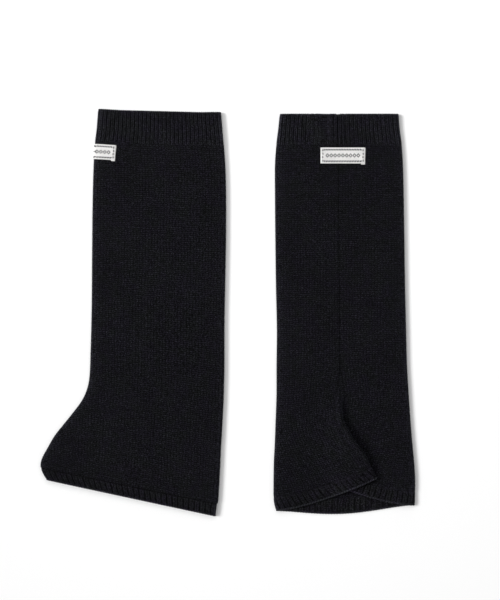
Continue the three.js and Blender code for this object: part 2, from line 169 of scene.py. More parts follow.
@dataclass(frozen=True)
class RightSection:
    """A section of the right leg warmer, with its front's rise, its back's drop and its folded flap."""

    down: float
    left: float
    right: float
    tilt: float
    lift: float
    drop: float
    crease: float
    flap: float
    lean: float


LEFT_SECTIONS = tuple(LeftSection(*row) for row in (
    (0, -134.9, -7.1, 1.5),
    (22, -136.7, -5.2, 1.4),
    (35, -138.3, -4.2, 1.4),
    (67, -140.1, -2.4, 2.1),
    (114, -141.1, -2.0, 3.1),
    (166, -141.5, -2.7, 4.5),
    (218, -141.9, -3.7, 5.8),
    (264, -143.0, -3.8, 6.8),
    (295, -144.3, -4.5, 7.5),
    (311, -147.7, -5.2, 8.0),
    (324, -153.3, -5.9, 8.5),
    (337, -161.2, -6.6, 9.0),
    (352, -170.9, -7.5, 9.5),
    (367, -180.2, -8.1, 10.1),
    (383, -187.9, -8.9, 10.6),
    (395, -193.2, -9.6, 11.0),
    (404, -195.1, -10.2, 11.4),
    (411, -193.7, -11.4, 11.7),
    (420.6, -188.6, -12.6, 12.2),
))

RIGHT_SECTIONS = tuple(RightSection(*row) for row in (
    (0, 53.8, 177.3, 0, 0, 0, 114, 0, 85),
    (17, 52.0, 178.5, 0, 0, 0, 114, 0, 85),
    (32, 50.2, 180.4, 0, 0, 0.2, 114.4, 0, 85),
    (53, 48.7, 181.8, 0, 0.3, 0.4, 114.6, 0, 85),
    (84, 48.7, 182.6, 0, 0.8, 0.8, 115, 0, 85),
    (131, 49.1, 183.3, 0.1, 1.5, 1.4, 115.3, 0, 85),
    (178, 49.7, 184.0, 0.3, 2.2, 2.0, 115.7, 0, 85),
    (225, 50.7, 185.1, 0.5, 3.1, 2.8, 116, 0, 85),
    (261, 50.3, 186.0, 0.8, 4.2, 3.5, 116.3, 0, 85),
    (289, 50.3, 187.6, 1.0, 6.6, 4.2, 116.7, 0, 85),
    (303, 49.9, 188.5, 1.2, 8.1, 4.6, 117.6, 1.5, 77),
    (316, 49.4, 189.4, 1.3, 10.1, 4.9, 118.2, 2.8, 71),
    (330, 48.9, 190.4, 1.5, 12.6, 5.2, 119.0, 4.2, 61),
    (343, 48.4, 191.5, 1.7, 15.6, 5.5, 119.9, 7.0, 42),
    (357, 47.6, 192.8, 1.9, 18.6, 5.7, 121.0, 11.2, 27),
    (370, 47.3, 193.9, 2.0, 21.7, 5.9, 122.2, 16.9, 16),
    (384, 47.2, 194.6, 2.2, 25.1, 6.0, 123.6, 21.2, 9),
    (393, 47.2, 194.5, 2.2, 27.3, 6.0, 124.7, 22.6, 6),
    (401.5, 47.9, 194.3, 2.3, 29.0, 6.0, 125.7, 24.8, 3),
    (410.2, 49.8, 194.1, 2.3, 30.4, 6.0, 127.0, 27.0, 0),
))


def smooth(value: np.ndarray) -> np.ndarray:
    """The smooth step: three times the square less twice the cube, held between 0 and 1."""
    held = np.clip(value, 0.0, 1.0)
    return held * held * (3 - 2 * held)


def column(rows: Sequence[object], name: str, down: np.ndarray) -> np.ndarray:
    """One column of a table at distances down the leg, on a smooth curve through its rows.

    Between two rows it is the cubic whose slope at each row is that of the line between the row's
    neighbours.

    Args:
        rows: The table's rows, in order down the leg.
        name: The column's name.
        down: Distances down the leg.

    Returns:
        The column's value at each distance.
    """
    places = np.array([row.down for row in rows], float)
    values = np.array([getattr(row, name) for row in rows], float)
    last = len(rows) - 1
    index = np.arange(last + 1)
    low = np.maximum(index - 1, 0)
    high = np.minimum(index + 1, last)
    slopes = (values[high] - values[low]) / (places[high] - places[low])
    after = np.clip(np.searchsorted(places, down, side="right"), 1, last)
    span = places[after] - places[after - 1]
    t = (down - places[after - 1]) / span
    rise = t * t * (3 - 2 * t)
    start = t * (1 - t) ** 2 * span * slopes[after - 1]
    end = t * t * (1 - t) * span * slopes[after]
    return values[after - 1] + rise * (values[after] - values[after - 1]) + start - end


def unevenness(across: np.ndarray, along: np.ndarray, seed: float) -> np.ndarray:
    """Soft hand-laid unevenness of the cloth, between about -1 and 1.

    It is a sum of five sine waves of 150 down to 26 mm, each turned and shifted by its own angle.

    Args:
        across: Distance across the leg, in millimetres.
        along: Distance down the leg, in millimetres.
        seed: Shifts the waves, so that each layer has its own.

    Returns:
        The height's share at each point.
    """
    total = np.zeros(np.broadcast(across, along).shape)
    for number, (length, angle, share) in enumerate(UNEVEN_WAVES):
        phase = seed * (1.7 + number)
        turned = across * math.cos(angle) + along * 0.55 * math.sin(angle)
        total = total + share * np.sin(2 * math.pi * turned / length + phase)
    return total


def raised(across: np.ndarray, inward: np.ndarray, wave: np.ndarray, share: object = 1.0) -> np.ndarray:
    """How much the front stands up from a plain one: its waves by a share, and a quarter sine from each fold.

    Args:
        across: The distance from one fold.
        inward: The distance from the other.
        wave: The cloth's waves, which fade at the folds.
        share: How much of the waves is wanted.

    Returns:
        The height at each point.
    """
    wave = wave * smooth(across / WAVE_FADE) * smooth(inward / WAVE_FADE)
    quarter = np.clip(np.minimum(across, inward) / BELLY_REACH, 0, 1) * math.pi / 2
    return WAVE * (wave + WAVE_LIFT) * share + BELLY * np.sin(quarter)


@dataclass
class Corner:
    """A rounded corner of a ring at every station, with how finely its arc and the side after it are cut."""

    x: np.ndarray
    z: np.ndarray
    cut: float
    steps: int = 1
    joined: bool = False


def ring_through(corners: Sequence[Corner]) -> tuple[np.ndarray, list[int]]:
    """Closed rings through rounded corners, one ring for each station.

    Each corner is a circular arc, a rational quadratic curve whose middle weight is the cosine of half its
    turn. It starts and ends at the corner's cut along its two sides, or where two arcs meet halfway.

    Args:
        corners: The corners in order round the ring, each with its x and z at every station.

    Returns:
        The points as an array of stations, points and (x, z), and the index at which each corner's arc
            starts.
    """
    count = len(corners)
    places = np.stack([np.stack([c.x, c.z], -1) for c in corners])
    sides = np.roll(places, -1, axis=0) - places
    lengths = np.linalg.norm(sides, axis=-1)
    headings = sides / lengths[..., None]
    arcs = []
    for i, corner in enumerate(corners):
        before = lengths[i - 1] * (0.5 if corners[i - 1].joined else 0.49)
        after = lengths[i] * (0.5 if corner.joined else 0.49)
        cut = np.minimum(np.minimum(before, after), corner.cut)[:, None]
        into, out = headings[i - 1], headings[i]
        start = places[i] - cut * into
        end = places[i] + cut * out
        weight = np.sqrt(np.clip((1 + (into * out).sum(-1)) / 2, 0, None))[:, None, None]
        t = np.linspace(0, 1, SMOOTH_ARC + 1)[None, :, None]
        parts = (1 - t) ** 2, 2 * t * (1 - t) * weight, t * t
        bend = parts[0] * start[:, None] + parts[1] * places[i][:, None] + parts[2] * end[:, None]
        arcs.append(bend / (parts[0] + parts[1] + parts[2]))
    pieces, starts, reached = [], [], 0
    for i, corner in enumerate(corners):
        arc = arcs[i][:, :-1] if corner.joined else arcs[i]
        t = (np.arange(1, corner.steps) / corner.steps)[None, :, None]
        side = arcs[i][:, -1:] * (1 - t) + arcs[(i + 1) % count][:, :1] * t
        starts.append(reached)
        reached += arc.shape[1] + (0 if corner.joined else side.shape[1])
        pieces += [arc] if corner.joined else [arc, side]
    return np.concatenate(pieces, axis=1), starts


@dataclass
class Lay:
    """A stretch of a leg warmer as it lies: its cloth's middle, its outward side and its knitting's grid."""

    middle: np.ndarray
    outward: np.ndarray
    across: np.ndarray
    down: np.ndarray
    seam_distance: Optional[np.ndarray] = None

    def rows(self, keep: slice) -> "Lay":
        """The same stretch with some of its stations left out."""
        parts = (self.middle, self.outward, self.across, self.down, self.seam_distance)
        return Lay(*(None if part is None else part[keep] for part in parts))


def outward_of(middle: np.ndarray) -> np.ndarray:
    """The cloth's outward side: the direction round the ring crossed with the direction down the leg.

    Args:
        middle: The cloth's middle, as stations, points and (x, y, z).

    Returns:
        Its direction at each point.
    """
    around = np.roll(middle, -1, axis=1) - np.roll(middle, 1, axis=1)
    downward = np.gradient(middle, axis=0)
    side = np.cross(around, downward)
    return side / np.linalg.norm(side, axis=-1, keepdims=True)


def ring_reach(ring: np.ndarray, anchor: int) -> np.ndarray:
    """How far round its ring each point lies from an anchor point, negative before it.

    Args:
        ring: The rings' points, as stations, points and coordinates.
        anchor: The anchor's index, the same in every ring.

    Returns:
        The distance along the ring at each point.
    """
    steps = np.linalg.norm(np.diff(ring, axis=1), axis=-1)
    reach = np.concatenate([np.zeros((ring.shape[0], 1)), np.cumsum(steps, axis=1)], axis=1)
    return reach - reach[:, anchor:anchor + 1]


class Hold(Enum):
    """How a piece of cloth lies."""

    LAID = "laid"
    FOLDED = "folded"


@dataclass
class Warmer:
    """What the two leg warmers have in common: how their rings become cloth, and their pieces of it."""

    name: str
    bands: tuple[float, float, float, float]
    wale: float
    furrow: float
    hold: Hold

    def lay(self, down: np.ndarray, spacing: float) -> Lay:
        """The cloth at stations down the leg. Each leg warmer has its own."""
        raise NotImplementedError

    def band(self, start: float, end: float, row: float, spacing: float) -> Lay:
        """A band of cloth, laid with one row beyond each end, so that the ends' outward sides are right.

        Args:
            start: How far down the band starts.
            end: How far down it ends.
            row: About how far apart its rows are.
            spacing: How far apart the points are on its long sides.

        Returns:
            The stretch of cloth.
        """
        count = max(int(round((end - start) / row)), 2)
        step = (end - start) / count
        return self.lay(start + step * np.arange(-1, count + 2), spacing).rows(INNER_ROWS)

    def cuff(self, finish: "Finishes") -> tuple[bpy.types.Object, Lay]:
        """The ribbed cuff: ribs on both faces that end just above the leg's plain knitting.

        Args:
            finish: The finishes.

        Returns:
            The cuff and its stretch of cloth.
        """
        end = self.bands[1]
        lay = self.band(self.bands[0] + EDGE_INSET, end, CUFF_ROW, RIB_POINT)
        ribs = rib_coordinate(lay, CUFF_PITCH)
        depth = RIB_DEPTH * smooth((end - lay.down) / RIB_FADE) * rib_variation(ribs, 0.1)
        outer, inner = wall_profile(lay, ribs, depth, RIB_SWELL)
        taper = edge_taper(lay, self.bands[0], CUFF_TAPER_REACH)
        outer = outer - taper - seam_groove(lay)
        cuff = walled(f"{self.name}_cuff_knit", lay, outer, inner + taper, ribs, lay.down / COURSE)
        finish.rib.for_piece(lay).dress(cuff)
        return cuff, lay

    def leg(self, finish: "Finishes") -> tuple[bpy.types.Object, Lay]:
        """The plain knitted leg, with its front seam where it has one.

        Args:
            finish: The finishes.

        Returns:
            The leg and its stretch of cloth.
        """
        lay = self.band(self.bands[1], self.bands[2], LEG_ROW, LEG_POINT)
        outer, inner = wall_profile(lay, None, np.zeros(lay.across.shape), 0)
        outer = outer - seam_groove(lay)
        leg = walled(f"{self.name}_leg_knit", lay, outer, inner, lay.across / self.wale, lay.down / COURSE)
        finish.knit.for_piece(lay).dress(leg)
        return leg, lay

    def hem(self, finish: "Finishes") -> tuple[bpy.types.Object, Lay]:
        """The ribbed hem band, with a furrow over its ribs, thinner next to its bound edge.

        Args:
            finish: The finishes.

        Returns:
            The hem and its stretch of cloth.
        """
        start = self.bands[2]
        lay = self.band(start, self.bands[3] - EDGE_INSET, HEM_ROW, RIB_POINT)
        ribs = rib_coordinate(lay, HEM_PITCH)
        depth = HEM_DEPTH * smooth((lay.down - start) / RIB_FADE) * rib_variation(ribs, 0.15)
        outer, inner = wall_profile(lay, ribs, depth, HEM_SWELL)
        taper = edge_taper(lay, self.bands[3], HEM_TAPER_REACH)
        furrow = self.furrow * np.exp(-((lay.down - start - HEM_FURROW_DOWN) ** 2))
        outer = outer - taper - furrow - seam_groove(lay)
        hem = walled(f"{self.name}_hem_knit", lay, outer, inner + taper, ribs, (lay.down - start) / COURSE)
        finish.hem.for_piece(lay).dress(hem)
        finish.inside.dress(hem)
        inner_faces(hem, lay)
        return hem, lay

    def edge_cord(self, part: str, down: float, bead: float, finish: "Finishes") -> bpy.types.Object:
        """The beaded cord of bound-off stitches along an edge.

        A round section is carried along the edge. Its radius is the cord's times 0.6 plus 0.4 of the sine of
        half the section's angle and the way along in beads, so that the beads wind round it.

        Args:
            part: What the cord is on.
            down: How far down its middle lies.
            bead: How long a bead is.
            finish: The finishes.

        Returns:
            The cord.
        """
        lay = self.lay(down + np.array([-0.5, 0.0, 0.5]), RIB_POINT)
        path, outward = lay.middle[1], lay.outward[1]
        tangent = np.roll(path, -1, axis=0) - np.roll(path, 1, axis=0)
        tangent /= np.linalg.norm(tangent, axis=-1, keepdims=True)
        side = np.cross(tangent, outward)
        side /= np.linalg.norm(side, axis=-1, keepdims=True)
        steps = np.linalg.norm(np.diff(path, axis=0, append=path[:1]), axis=-1)
        reach = np.concatenate([[0.0], np.cumsum(steps)[:-1]])
        beads = (reach / steps.sum() * round(float(steps.sum()) / bead))[:, None]
        count = EDGE_CORD_POINTS
        angle = np.linspace(0, 2 * math.pi, count, endpoint=False)
        radius = EDGE_CORD_RADIUS * (0.6 + 0.4 * np.abs(np.sin(math.pi * beads + angle / 2)))
        ring = path[:, None] + radius[..., None] * (
            np.cos(angle)[:, None] * outward[:, None] + np.sin(angle)[:, None] * side[:, None]
        )
        wound = beads + angle / (2 * math.pi)
        pattern = np.stack([again_first(wound, 1 / count), again_first(np.repeat(beads, count, 1))], -1)
        cord = grid_mesh(f"{self.name}_{part}_cord", ring, pattern, closed_rows=True)
        finish.cord.dress(cord)
        return ride_along(cord, "knit")

    def build(self, finish: "Finishes") -> None:
        """Builds the knitted pieces and their bound edges, and says what each piece is.

        Args:
            finish: The finishes.
        """
        cuff, cuff_lay = self.cuff(finish)
        leg, leg_lay = self.leg(finish)
        hem, hem_lay = self.hem(finish)
        cuff_cord = self.edge_cord("cuff", self.bands[0] + EDGE_CORD_RADIUS, CUFF_PITCH / 2, finish)
        hem_cord = self.edge_cord("hem", self.bands[3] - EDGE_CORD_RADIUS, HEM_PITCH / 2, finish)
        declare_cloth(cuff)
        declare_cloth(leg)
        declare_cloth(hem)


def tube_sides(width: np.ndarray) -> tuple[np.ndarray, np.ndarray, np.ndarray, np.ndarray]:
    """The middle line's x at a tube's two folds, and its z on the back and on the front."""
    shape = np.ones_like(width)
    return HALF_WALL * shape, width - HALF_WALL, BACK_Z * shape, FRONT_Z * shape


@dataclass
class LeftWarmer(Warmer):
    """The left leg warmer, on its side with the flare to the left, and its label round the seam fold."""

    name: str = "left"
    bands: tuple[float, float, float, float] = LEFT_BANDS
    wale: float = 3.12
    furrow: float = 0.5
    hold: Hold = Hold.LAID
    room: float = LABEL_THICK + LABEL_CLEAR
    room_reach: float = 40.0
    room_end: float = 54.0
    room_fade: float = 13.0
    top_dip: float = 0.75
    dip_reach: float = 60.0

    def label_room(self, down: np.ndarray, across: np.ndarray) -> np.ndarray:
        """How far the label under the fold raises the cloth: in full beside it, and less away from it."""
        along = smooth((down - self.bands[1]) / 1.2) * (1 - smooth((down - self.room_end) / self.room_fade))
        return self.room * along * (1 - smooth((across - self.room_reach) / self.room_fade))

    def lay(self, down: np.ndarray, spacing: float) -> Lay:
        """The cloth at stations down the leg.

        A ring's point at x from the seam fold stands on the section's line, which rises at the tilt from the
        back fold to the seam fold.

        Args:
            down: The stations' distances down the back fold.
            spacing: How far apart the ring's points are on its long sides.

        Returns:
            The stretch of cloth.
        """
        seam, back = (column(LEFT_SECTIONS, name, down) for name in ("seam", "back"))
        tilt = np.radians(column(LEFT_SECTIONS, "tilt", down))
        width = (back - seam) / np.cos(tilt)
        steps = int(round(float(width.max()) / spacing))
        near, far, low, high = tube_sides(width)
        ring, starts = ring_through([
            Corner(near, low, FOLD_CUT, steps=steps),
            Corner(far, low, FOLD_CUT, joined=True),
            Corner(far, high, FOLD_CUT, steps=steps),
            Corner(near, high, FOLD_CUT, joined=True),
        ])
        x, z = ring[..., 0], ring[..., 1]
        along, tilt = down[:, None], tilt[:, None]
        inward = width[:, None] - x
        front = z > (BACK_Z + FRONT_Z) / 2
        dip = smooth(x / WAVE_FADE) * smooth(inward / WAVE_FADE) * (1 - smooth(along / self.dip_reach))
        lift = np.where(front, raised(x, inward, unevenness(x, along, 1.3)), 0.0)
        position = np.stack([
            back[:, None] - inward * np.cos(tilt),
            LEFT_TOP - along + inward * np.sin(tilt) - self.top_dip * dip,
            z + self.label_room(along, x) + lift,
        ], -1)
        across = ring_reach(ring, starts[2])
        return Lay(position, outward_of(position), across, np.repeat(along, x.shape[1], 1))


@dataclass
class RightWarmer(Warmer):
    """The right leg warmer, front up, with its flare folded over to the right as a flap."""

    name: str = "right"
    bands: tuple[float, float, float, float] = RIGHT_BANDS
    wale: float = 2.95
    furrow: float = 0.2
    hold: Hold = Hold.FOLDED
    relax: float = 4.0
    ramp: float = 22.0
    ramp_cut: float = 6.0
    lift_power: float = 1.5
    drop_power: float = 1.5
    drop_shift: float = 0.03
    flap_open: float = 3.3
    calm_reach: float = 14.0
    calm_end: float = 330.0
    flare_start: float = 250.0
    flare_height: float = 30.0
    fade: float = 60.0
    notch: float = 1.0
    notch_width: float = 1.8
    notch_depth: float = 9.0
    spread: dict[str, float] = field(default_factory=lambda: {
        "crease_in": 9.0, "crease_out": 5.0, "edge_in": 1.6,
        "edge_out": -1.6, "ramp_top": -6.0, "ramp_foot": -26.0,
    })

    def flap_corners(self, table: dict[str, np.ndarray], spacing: float) -> list[Corner]:
        """The front's corners between its side folds: the flap's crease, its seam edge and its ramp.

        The flap rises from its crease at the lean, turns over at the seam edge and comes down by the ramp.
        Where the flap starts, each corner is mixed with its place on a plain front.

        Args:
            table: The section's columns at every station.
            spacing: How far apart the ring's points are on its long sides.

        Returns:
            The six corners, from right to left.
        """
        lean = np.radians(table["lean"])
        crease = table["crease"] - table["left"]
        opened = smooth(table["flap"] / self.flap_open)
        along_x, along_z = np.cos(lean), np.sin(lean)
        turn = math.pi / 2 + lean / 2
        points = {"crease_in": (crease, np.full_like(crease, FRONT_Z))}
        points["crease_out"] = (crease + LAYER * np.cos(turn), FRONT_Z + LAYER * np.sin(turn))
        out_x, out_z = points["crease_out"]
        edge_x, edge_z = out_x + table["flap"] * along_x, out_z + table["flap"] * along_z
        points["edge_in"] = (edge_x, edge_z)
        top_x = out_x - LAYER * along_z - self.relax * along_z
        top_z = out_z + LAYER * along_x
        slope = np.arctan2(edge_z - top_z + SEAM_EDGE * along_x, edge_x - top_x)
        edge_turn = math.pi / 2 + (lean + slope) / 2
        points["edge_out"] = (edge_x + SEAM_EDGE * np.cos(edge_turn), edge_z + SEAM_EDGE * np.sin(edge_turn))
        points["ramp_top"] = (top_x, top_z)
        points["ramp_foot"] = (top_x - self.ramp, np.full_like(crease, FRONT_Z))
        mixed = {}
        for name, (x, z) in points.items():
            plain = crease + self.spread[name]
            mixed[name] = (plain + opened * (x - plain), FRONT_Z + opened * (z - FRONT_Z))
        flap_steps = max(int(round(float(table["flap"].max()) / spacing)), 3)
        side_steps = int(round(HALF_SIDE / spacing))
        shapes = {
            "crease_in": {"cut": FOLD_CUT, "joined": True},
            "crease_out": {"cut": FOLD_CUT, "steps": flap_steps},
            "edge_in": {"cut": SEAM_EDGE / 2, "joined": True},
            "edge_out": {"cut": SEAM_EDGE / 2, "steps": flap_steps},
            "ramp_top": {"cut": self.ramp_cut, "steps": 3},
            "ramp_foot": {"cut": self.ramp_cut, "steps": side_steps},
        }
        return [Corner(*mixed[name], **values) for name, values in shapes.items()]

    def lay(self, down: np.ndarray, spacing: float) -> Lay:
        """The cloth at stations down the leg.

        The front rises towards the seam by the lift times a power of the share of the way from the fold. The
        back drops towards its middle by the drop times a power of the cosine of the way from the middle.

        Args:
            down: The stations' distances down the side folds.
            spacing: How far apart the ring's points are on its long sides.

        Returns:
            The stretch of cloth.
        """
        names = ("left", "right", "tilt", "lift", "drop", "crease", "flap", "lean")
        table = {name: column(RIGHT_SECTIONS, name, down) for name in names}
        table["flap"] = np.maximum(table["flap"], 0)
        width = table["right"] - table["left"]
        near, far, low, high = tube_sides(width)
        side_steps = int(round(HALF_SIDE / spacing))
        ring, starts = ring_through([
            Corner(near, low, FOLD_CUT, steps=2 * side_steps),
            Corner(far, low, FOLD_CUT, joined=True),
            Corner(far, high, FOLD_CUT, steps=side_steps),
            *self.flap_corners(table, spacing),
            Corner(near, high, FOLD_CUT, joined=True),
        ])
        seam, fold = starts[6], starts[2]
        x, z = ring[..., 0], ring[..., 1]
        along, inward = down[:, None], width[:, None] - x
        index = np.arange(x.shape[1])[None, :]
        front = np.repeat(index >= fold, x.shape[0], 0)
        reach = ring_reach(ring, seam)
        share = np.where(index < seam, reach / reach[:, fold:fold + 1], reach / reach[:, -1:])
        lift = table["lift"][:, None] * np.clip(1 - share, 0, 1) ** self.lift_power
        from_middle = x / width[:, None] - 0.5
        hang = np.clip(np.cos(math.pi * (from_middle + self.drop_shift)), 0, 1)
        drop = table["drop"][:, None] * hang ** self.drop_power
        rise = np.tan(np.radians(table["tilt"]))[:, None] * width[:, None] * from_middle
        notch = self.notch * np.exp(-((reach / self.notch_width) ** 2))
        notch = notch * (1 - smooth(along / self.notch_depth))
        wave = unevenness(x, along, 4.1) * smooth(np.abs(reach) / self.calm_reach)
        calm = smooth((self.calm_end - along) / self.fade)
        position = np.stack([
            table["left"][:, None] + x,
            RIGHT_TOP - along + rise + np.where(front, lift - notch, -drop),
            z + np.where(front, raised(x, inward, wave, calm), 0.0),
        ], -1)
        around = np.roll(position, -1, axis=1) - np.roll(position, 1, axis=1)
        slant = around[..., 1] / np.maximum(np.linalg.norm(around[..., (0, 2)], axis=-1), 1e-6)
        height = self.flare_height * (1 - np.exp(-(self.bands[3] - along) / self.flare_height))
        flare = smooth((along - self.flare_start) / self.fade)
        across = reach + np.where(front, slant * height * flare, 0.0)
        down = np.repeat(along, x.shape[1], 1)
        return Lay(position, outward_of(position), across, down, reach)


def in_scene(name: str, data: bpy.types.ID) -> bpy.types.Object:
    """A new object in the scene.

    Args:
        name: Its name.
        data: Its mesh, light or camera.

    Returns:
        The object.
    """
    made = bpy.data.objects.new(name, data)
    bpy.context.scene.collection.objects.link(made)
    return made


def new_object(name: str, points: np.ndarray, faces: Sequence[Sequence[int]]) -> bpy.types.Object:
    """A smooth mesh as an object in the scene.

    Args:
        name: The object's name.
        points: Its points in millimetres.
        faces: Its faces, as numbers of points.

    Returns:
        The object.
    """
    mesh = bpy.data.meshes.new(name)
    mesh.from_pydata((points.reshape(-1, 3) * MM).tolist(), [], faces)
    mesh.shade_smooth()
    return in_scene(name, mesh)


def grid_mesh(name: str, rings: np.ndarray, coordinates: np.ndarray, closed_rows: bool = False,
              flat_ends: bool = False) -> bpy.types.Object:
    """A mesh from rings of points: each ring is closed, and the rings follow each other.

    The quad between ring r and r + 1 and between point i and i + 1 keeps the order that faces outwards. A
    flat strip's end is closed by quads that join two of its ring's points to the two opposite ones.

    Args:
        name: The object's name.
        rings: The points in millimetres, as rings, points and (x, y, z).
        coordinates: The pattern's coordinates, as rings, points + 1 and (u, v), with the first point's again
            last.
        closed_rows: Whether the last ring joins the first.
        flat_ends: Whether the first and last ring are closed.

    Returns:
        The object, with its pattern's coordinates in the UV map "knit".
    """
    rows, count = rings.shape[:2]
    below = np.arange(rows if closed_rows else rows - 1)
    row = np.repeat(below, count)
    i = np.tile(np.arange(count), len(below))
    nxt, after = (row + 1) % rows, (i + 1) % count
    faces = np.stack([row * count + i, row * count + after, nxt * count + after, nxt * count + i], -1)
    corners = np.stack([
        coordinates[row, i], coordinates[row, i + 1], coordinates[nxt, i + 1], coordinates[nxt, i],
    ], 1).reshape(-1, 2)
    if flat_ends:
        i = np.arange(count // 2 - 1)
        first = np.stack([i + 1, i, count - 1 - i, count - 2 - i], -1)
        faces = np.concatenate([faces, first, (rows - 1) * count + first[:, ::-1]])
        corners = np.concatenate([corners, np.zeros((8 * len(i), 2))])
    made = new_object(name, rings, faces.tolist())
    made.data.uv_layers.new(name="knit").data.foreach_set("uv", corners.reshape(-1).astype(np.float32))
    return made


def again_first(values: np.ndarray, step: Optional[np.ndarray] = None) -> np.ndarray:
    """Values round a ring with the first one added again after the last, further on by a step."""
    first = values[:, :1] if step is None else values[:, -1:] + step
    return np.concatenate([values, first], axis=1)


def walled(name: str, lay: Lay, outer: np.ndarray, inner: np.ndarray, wales: np.ndarray,
           courses: np.ndarray) -> bpy.types.Object:
    """A knitted piece as a closed wall: outer face, end, inner face and other end, in one round.

    Every point stands off the cloth's middle along the outward side, by the outer relief or the inner one.

    Args:
        name: The object's name.
        lay: The stretch of cloth.
        outer: How far the outer face stands off the middle, at each point.
        inner: How far the inner face stands off it, at each point.
        wales: The stitch columns' coordinate at each point.
        courses: The stitch rows' coordinate at each point.

    Returns:
        The object.
    """
    outside = lay.middle + lay.outward * outer[..., None]
    inside = lay.middle + lay.outward * inner[..., None]
    rings = np.concatenate([outside, inside[::-1]], axis=0)
    step = wales[:, -1:] - wales[:, -2:-1]
    pattern = np.stack([again_first(wales, step), again_first(courses)], -1)
    made = grid_mesh(name, rings, np.concatenate([pattern, pattern[::-1]], axis=0), closed_rows=True)
    made.data.set_sharp_from_angle(angle=math.radians(SHARP_ANGLE))
    # The painted sheen along the side folds, kept on the points for the finish
    painted_sheen = fold_sheen_share(lay)
    layer = made.data.attributes.new("painted_sheen", "FLOAT", "POINT")
    layer.data.foreach_set("value", np.concatenate([painted_sheen, painted_sheen[::-1]]).reshape(-1).astype(np.float32))
    return made


def fold_sheen_share(lay: Lay) -> np.ndarray:
    """How much painted sheen lightens the yarn: 1 at the side folds, and exponentially less away from them.

    Args:
        lay: The stretch of cloth.

    Returns:
        The painted sheen's share at each point.
    """
    x = lay.middle[..., 0]
    from_fold = np.minimum(x - x.min(axis=1, keepdims=True), x.max(axis=1, keepdims=True) - x)
    return np.exp(-from_fold / FOLD_SHEEN_REACH)


def inner_faces(obj: bpy.types.Object, lay: Lay) -> None:
    """Gives the inner half of a wall's faces the piece's second finish.

    Args:
        obj: The piece, whose faces follow each other ring by ring.
        lay: The stretch of cloth that it was made from.
    """
    rows, count = lay.across.shape
    index = np.zeros(len(obj.data.polygons), np.int32)
    index[rows * count:(2 * rows - 1) * count] = 1
    obj.data.polygons.foreach_set("material_index", index)


def wall_profile(lay: Lay, ribs: Optional[np.ndarray], depth: np.ndarray,
                 swell: float) -> tuple[np.ndarray, np.ndarray]:
    """How far the outer and the inner face stand off the cloth's middle.

    A rib is two columns of stitches. The groove beside it is a bell of the distance from it, and the one
    along its middle is narrower and less deep. The inner face has the same ribs half a pitch on and half as
    deep. Neither face goes below the surface under the cloth.

    Args:
        lay: The stretch of cloth.
        ribs: The rib coordinate at each point, whole at each groove, or None for plain knitting.
        depth: How deep the grooves are, at each point.
        swell: How far the crests stand above the plain wall.

    Returns:
        The outer and the inner distances.
    """
    outer = np.full(lay.across.shape, HALF_WALL)
    inner = np.full(lay.across.shape, -HALF_WALL)
    if ribs is not None:
        groove = rib_grooves(ribs)
        outer = outer - depth * groove + swell * (1 - groove) * np.minimum(depth, 1)
        inner = inner + 0.5 * depth * rib_grooves(ribs + 0.5)
        on_floor = smooth((lay.outward[..., 2] * -1 - 0.2) / 0.4)
        outer = outer * (1 - on_floor) + np.minimum(outer, HALF_WALL - 0.02) * on_floor
    return outer, inner


def rib_grooves(ribs: np.ndarray) -> np.ndarray:
    """How deep the grooves are: 1 at whole numbers and 0.45 halfway, in bells 0.13 and 0.09 wide."""
    beside = np.abs(ribs - np.round(ribs))
    return np.exp(-((beside / 0.13) ** 2)) + 0.45 * np.exp(-(((0.5 - beside) / 0.09) ** 2))


def rib_coordinate(lay: Lay, pitch: float) -> np.ndarray:
    """The rib coordinate, with a whole number of ribs round the tube.

    Args:
        lay: The stretch of cloth.
        pitch: About how wide a rib is.

    Returns:
        The coordinate at each point, whole at each groove.
    """
    section = lay.middle[..., (0, 2)]
    around = np.linalg.norm(np.diff(section, axis=1, append=section[:, :1]), axis=-1).sum(1)
    return lay.across / around[:, None] * round(float(around.mean()) / pitch)


def rib_variation(ribs: np.ndarray, share: float) -> np.ndarray:
    """How deep each groove is beside the others: 1, and more or less by a share of two sines."""
    number = np.round(ribs)
    return 1 + share * (np.sin(number * 2.39) + 0.6 * np.sin(number * 0.71 + 1.0)) / 1.6


def seam_groove(lay: Lay) -> np.ndarray:
    """How deep the front seam lies: a narrow bell of its distance, deeper at each row of stitches.

    Args:
        lay: The stretch of cloth.

    Returns:
        The depth at each point, 0 where there is no seam.
    """
    if lay.seam_distance is None:
        return np.zeros(lay.across.shape)
    ladder = 0.8 + 0.2 * np.cos(2 * math.pi * lay.down / COURSE)
    deep = SEAM_DEPTH + SEAM_CUFF_DEPTH * (1 - smooth((lay.down - SEAM_CUFF_END) / SEAM_CUFF_FADE))
    return deep * np.exp(-((lay.seam_distance / SEAM_WIDTH) ** 2)) * ladder


def declare_cloth(obj: bpy.types.Object) -> None:
    """Puts a knitted piece on the body, says what it rides on and its slot, and hides its solid.

    Args:
        obj: The piece, named after its solid.
    """
    ride_along(obj, "knit")
    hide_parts(obj.name.removesuffix("_knit"))


def ride_along(obj: bpy.types.Object, slot: str) -> bpy.types.Object:
    """Puts a piece on the body, and logs the slot that it belongs in.

    Args:
        obj: The piece.
        slot: The slot's name.

    Returns:
        The piece.
    """
    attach(obj, BODY)
    log.info("%s: on %s, in the slot %s", obj.name, BODY, slot)
    return obj


def edge_taper(lay: Lay, edge: float, reach: float) -> np.ndarray:
    """How much thinner each face gets next to a bound edge, so that its cord stands out beside it."""
    return EDGE_TAPER * (1 - smooth(np.abs(lay.down - edge) / reach - 0.6))


# The labels

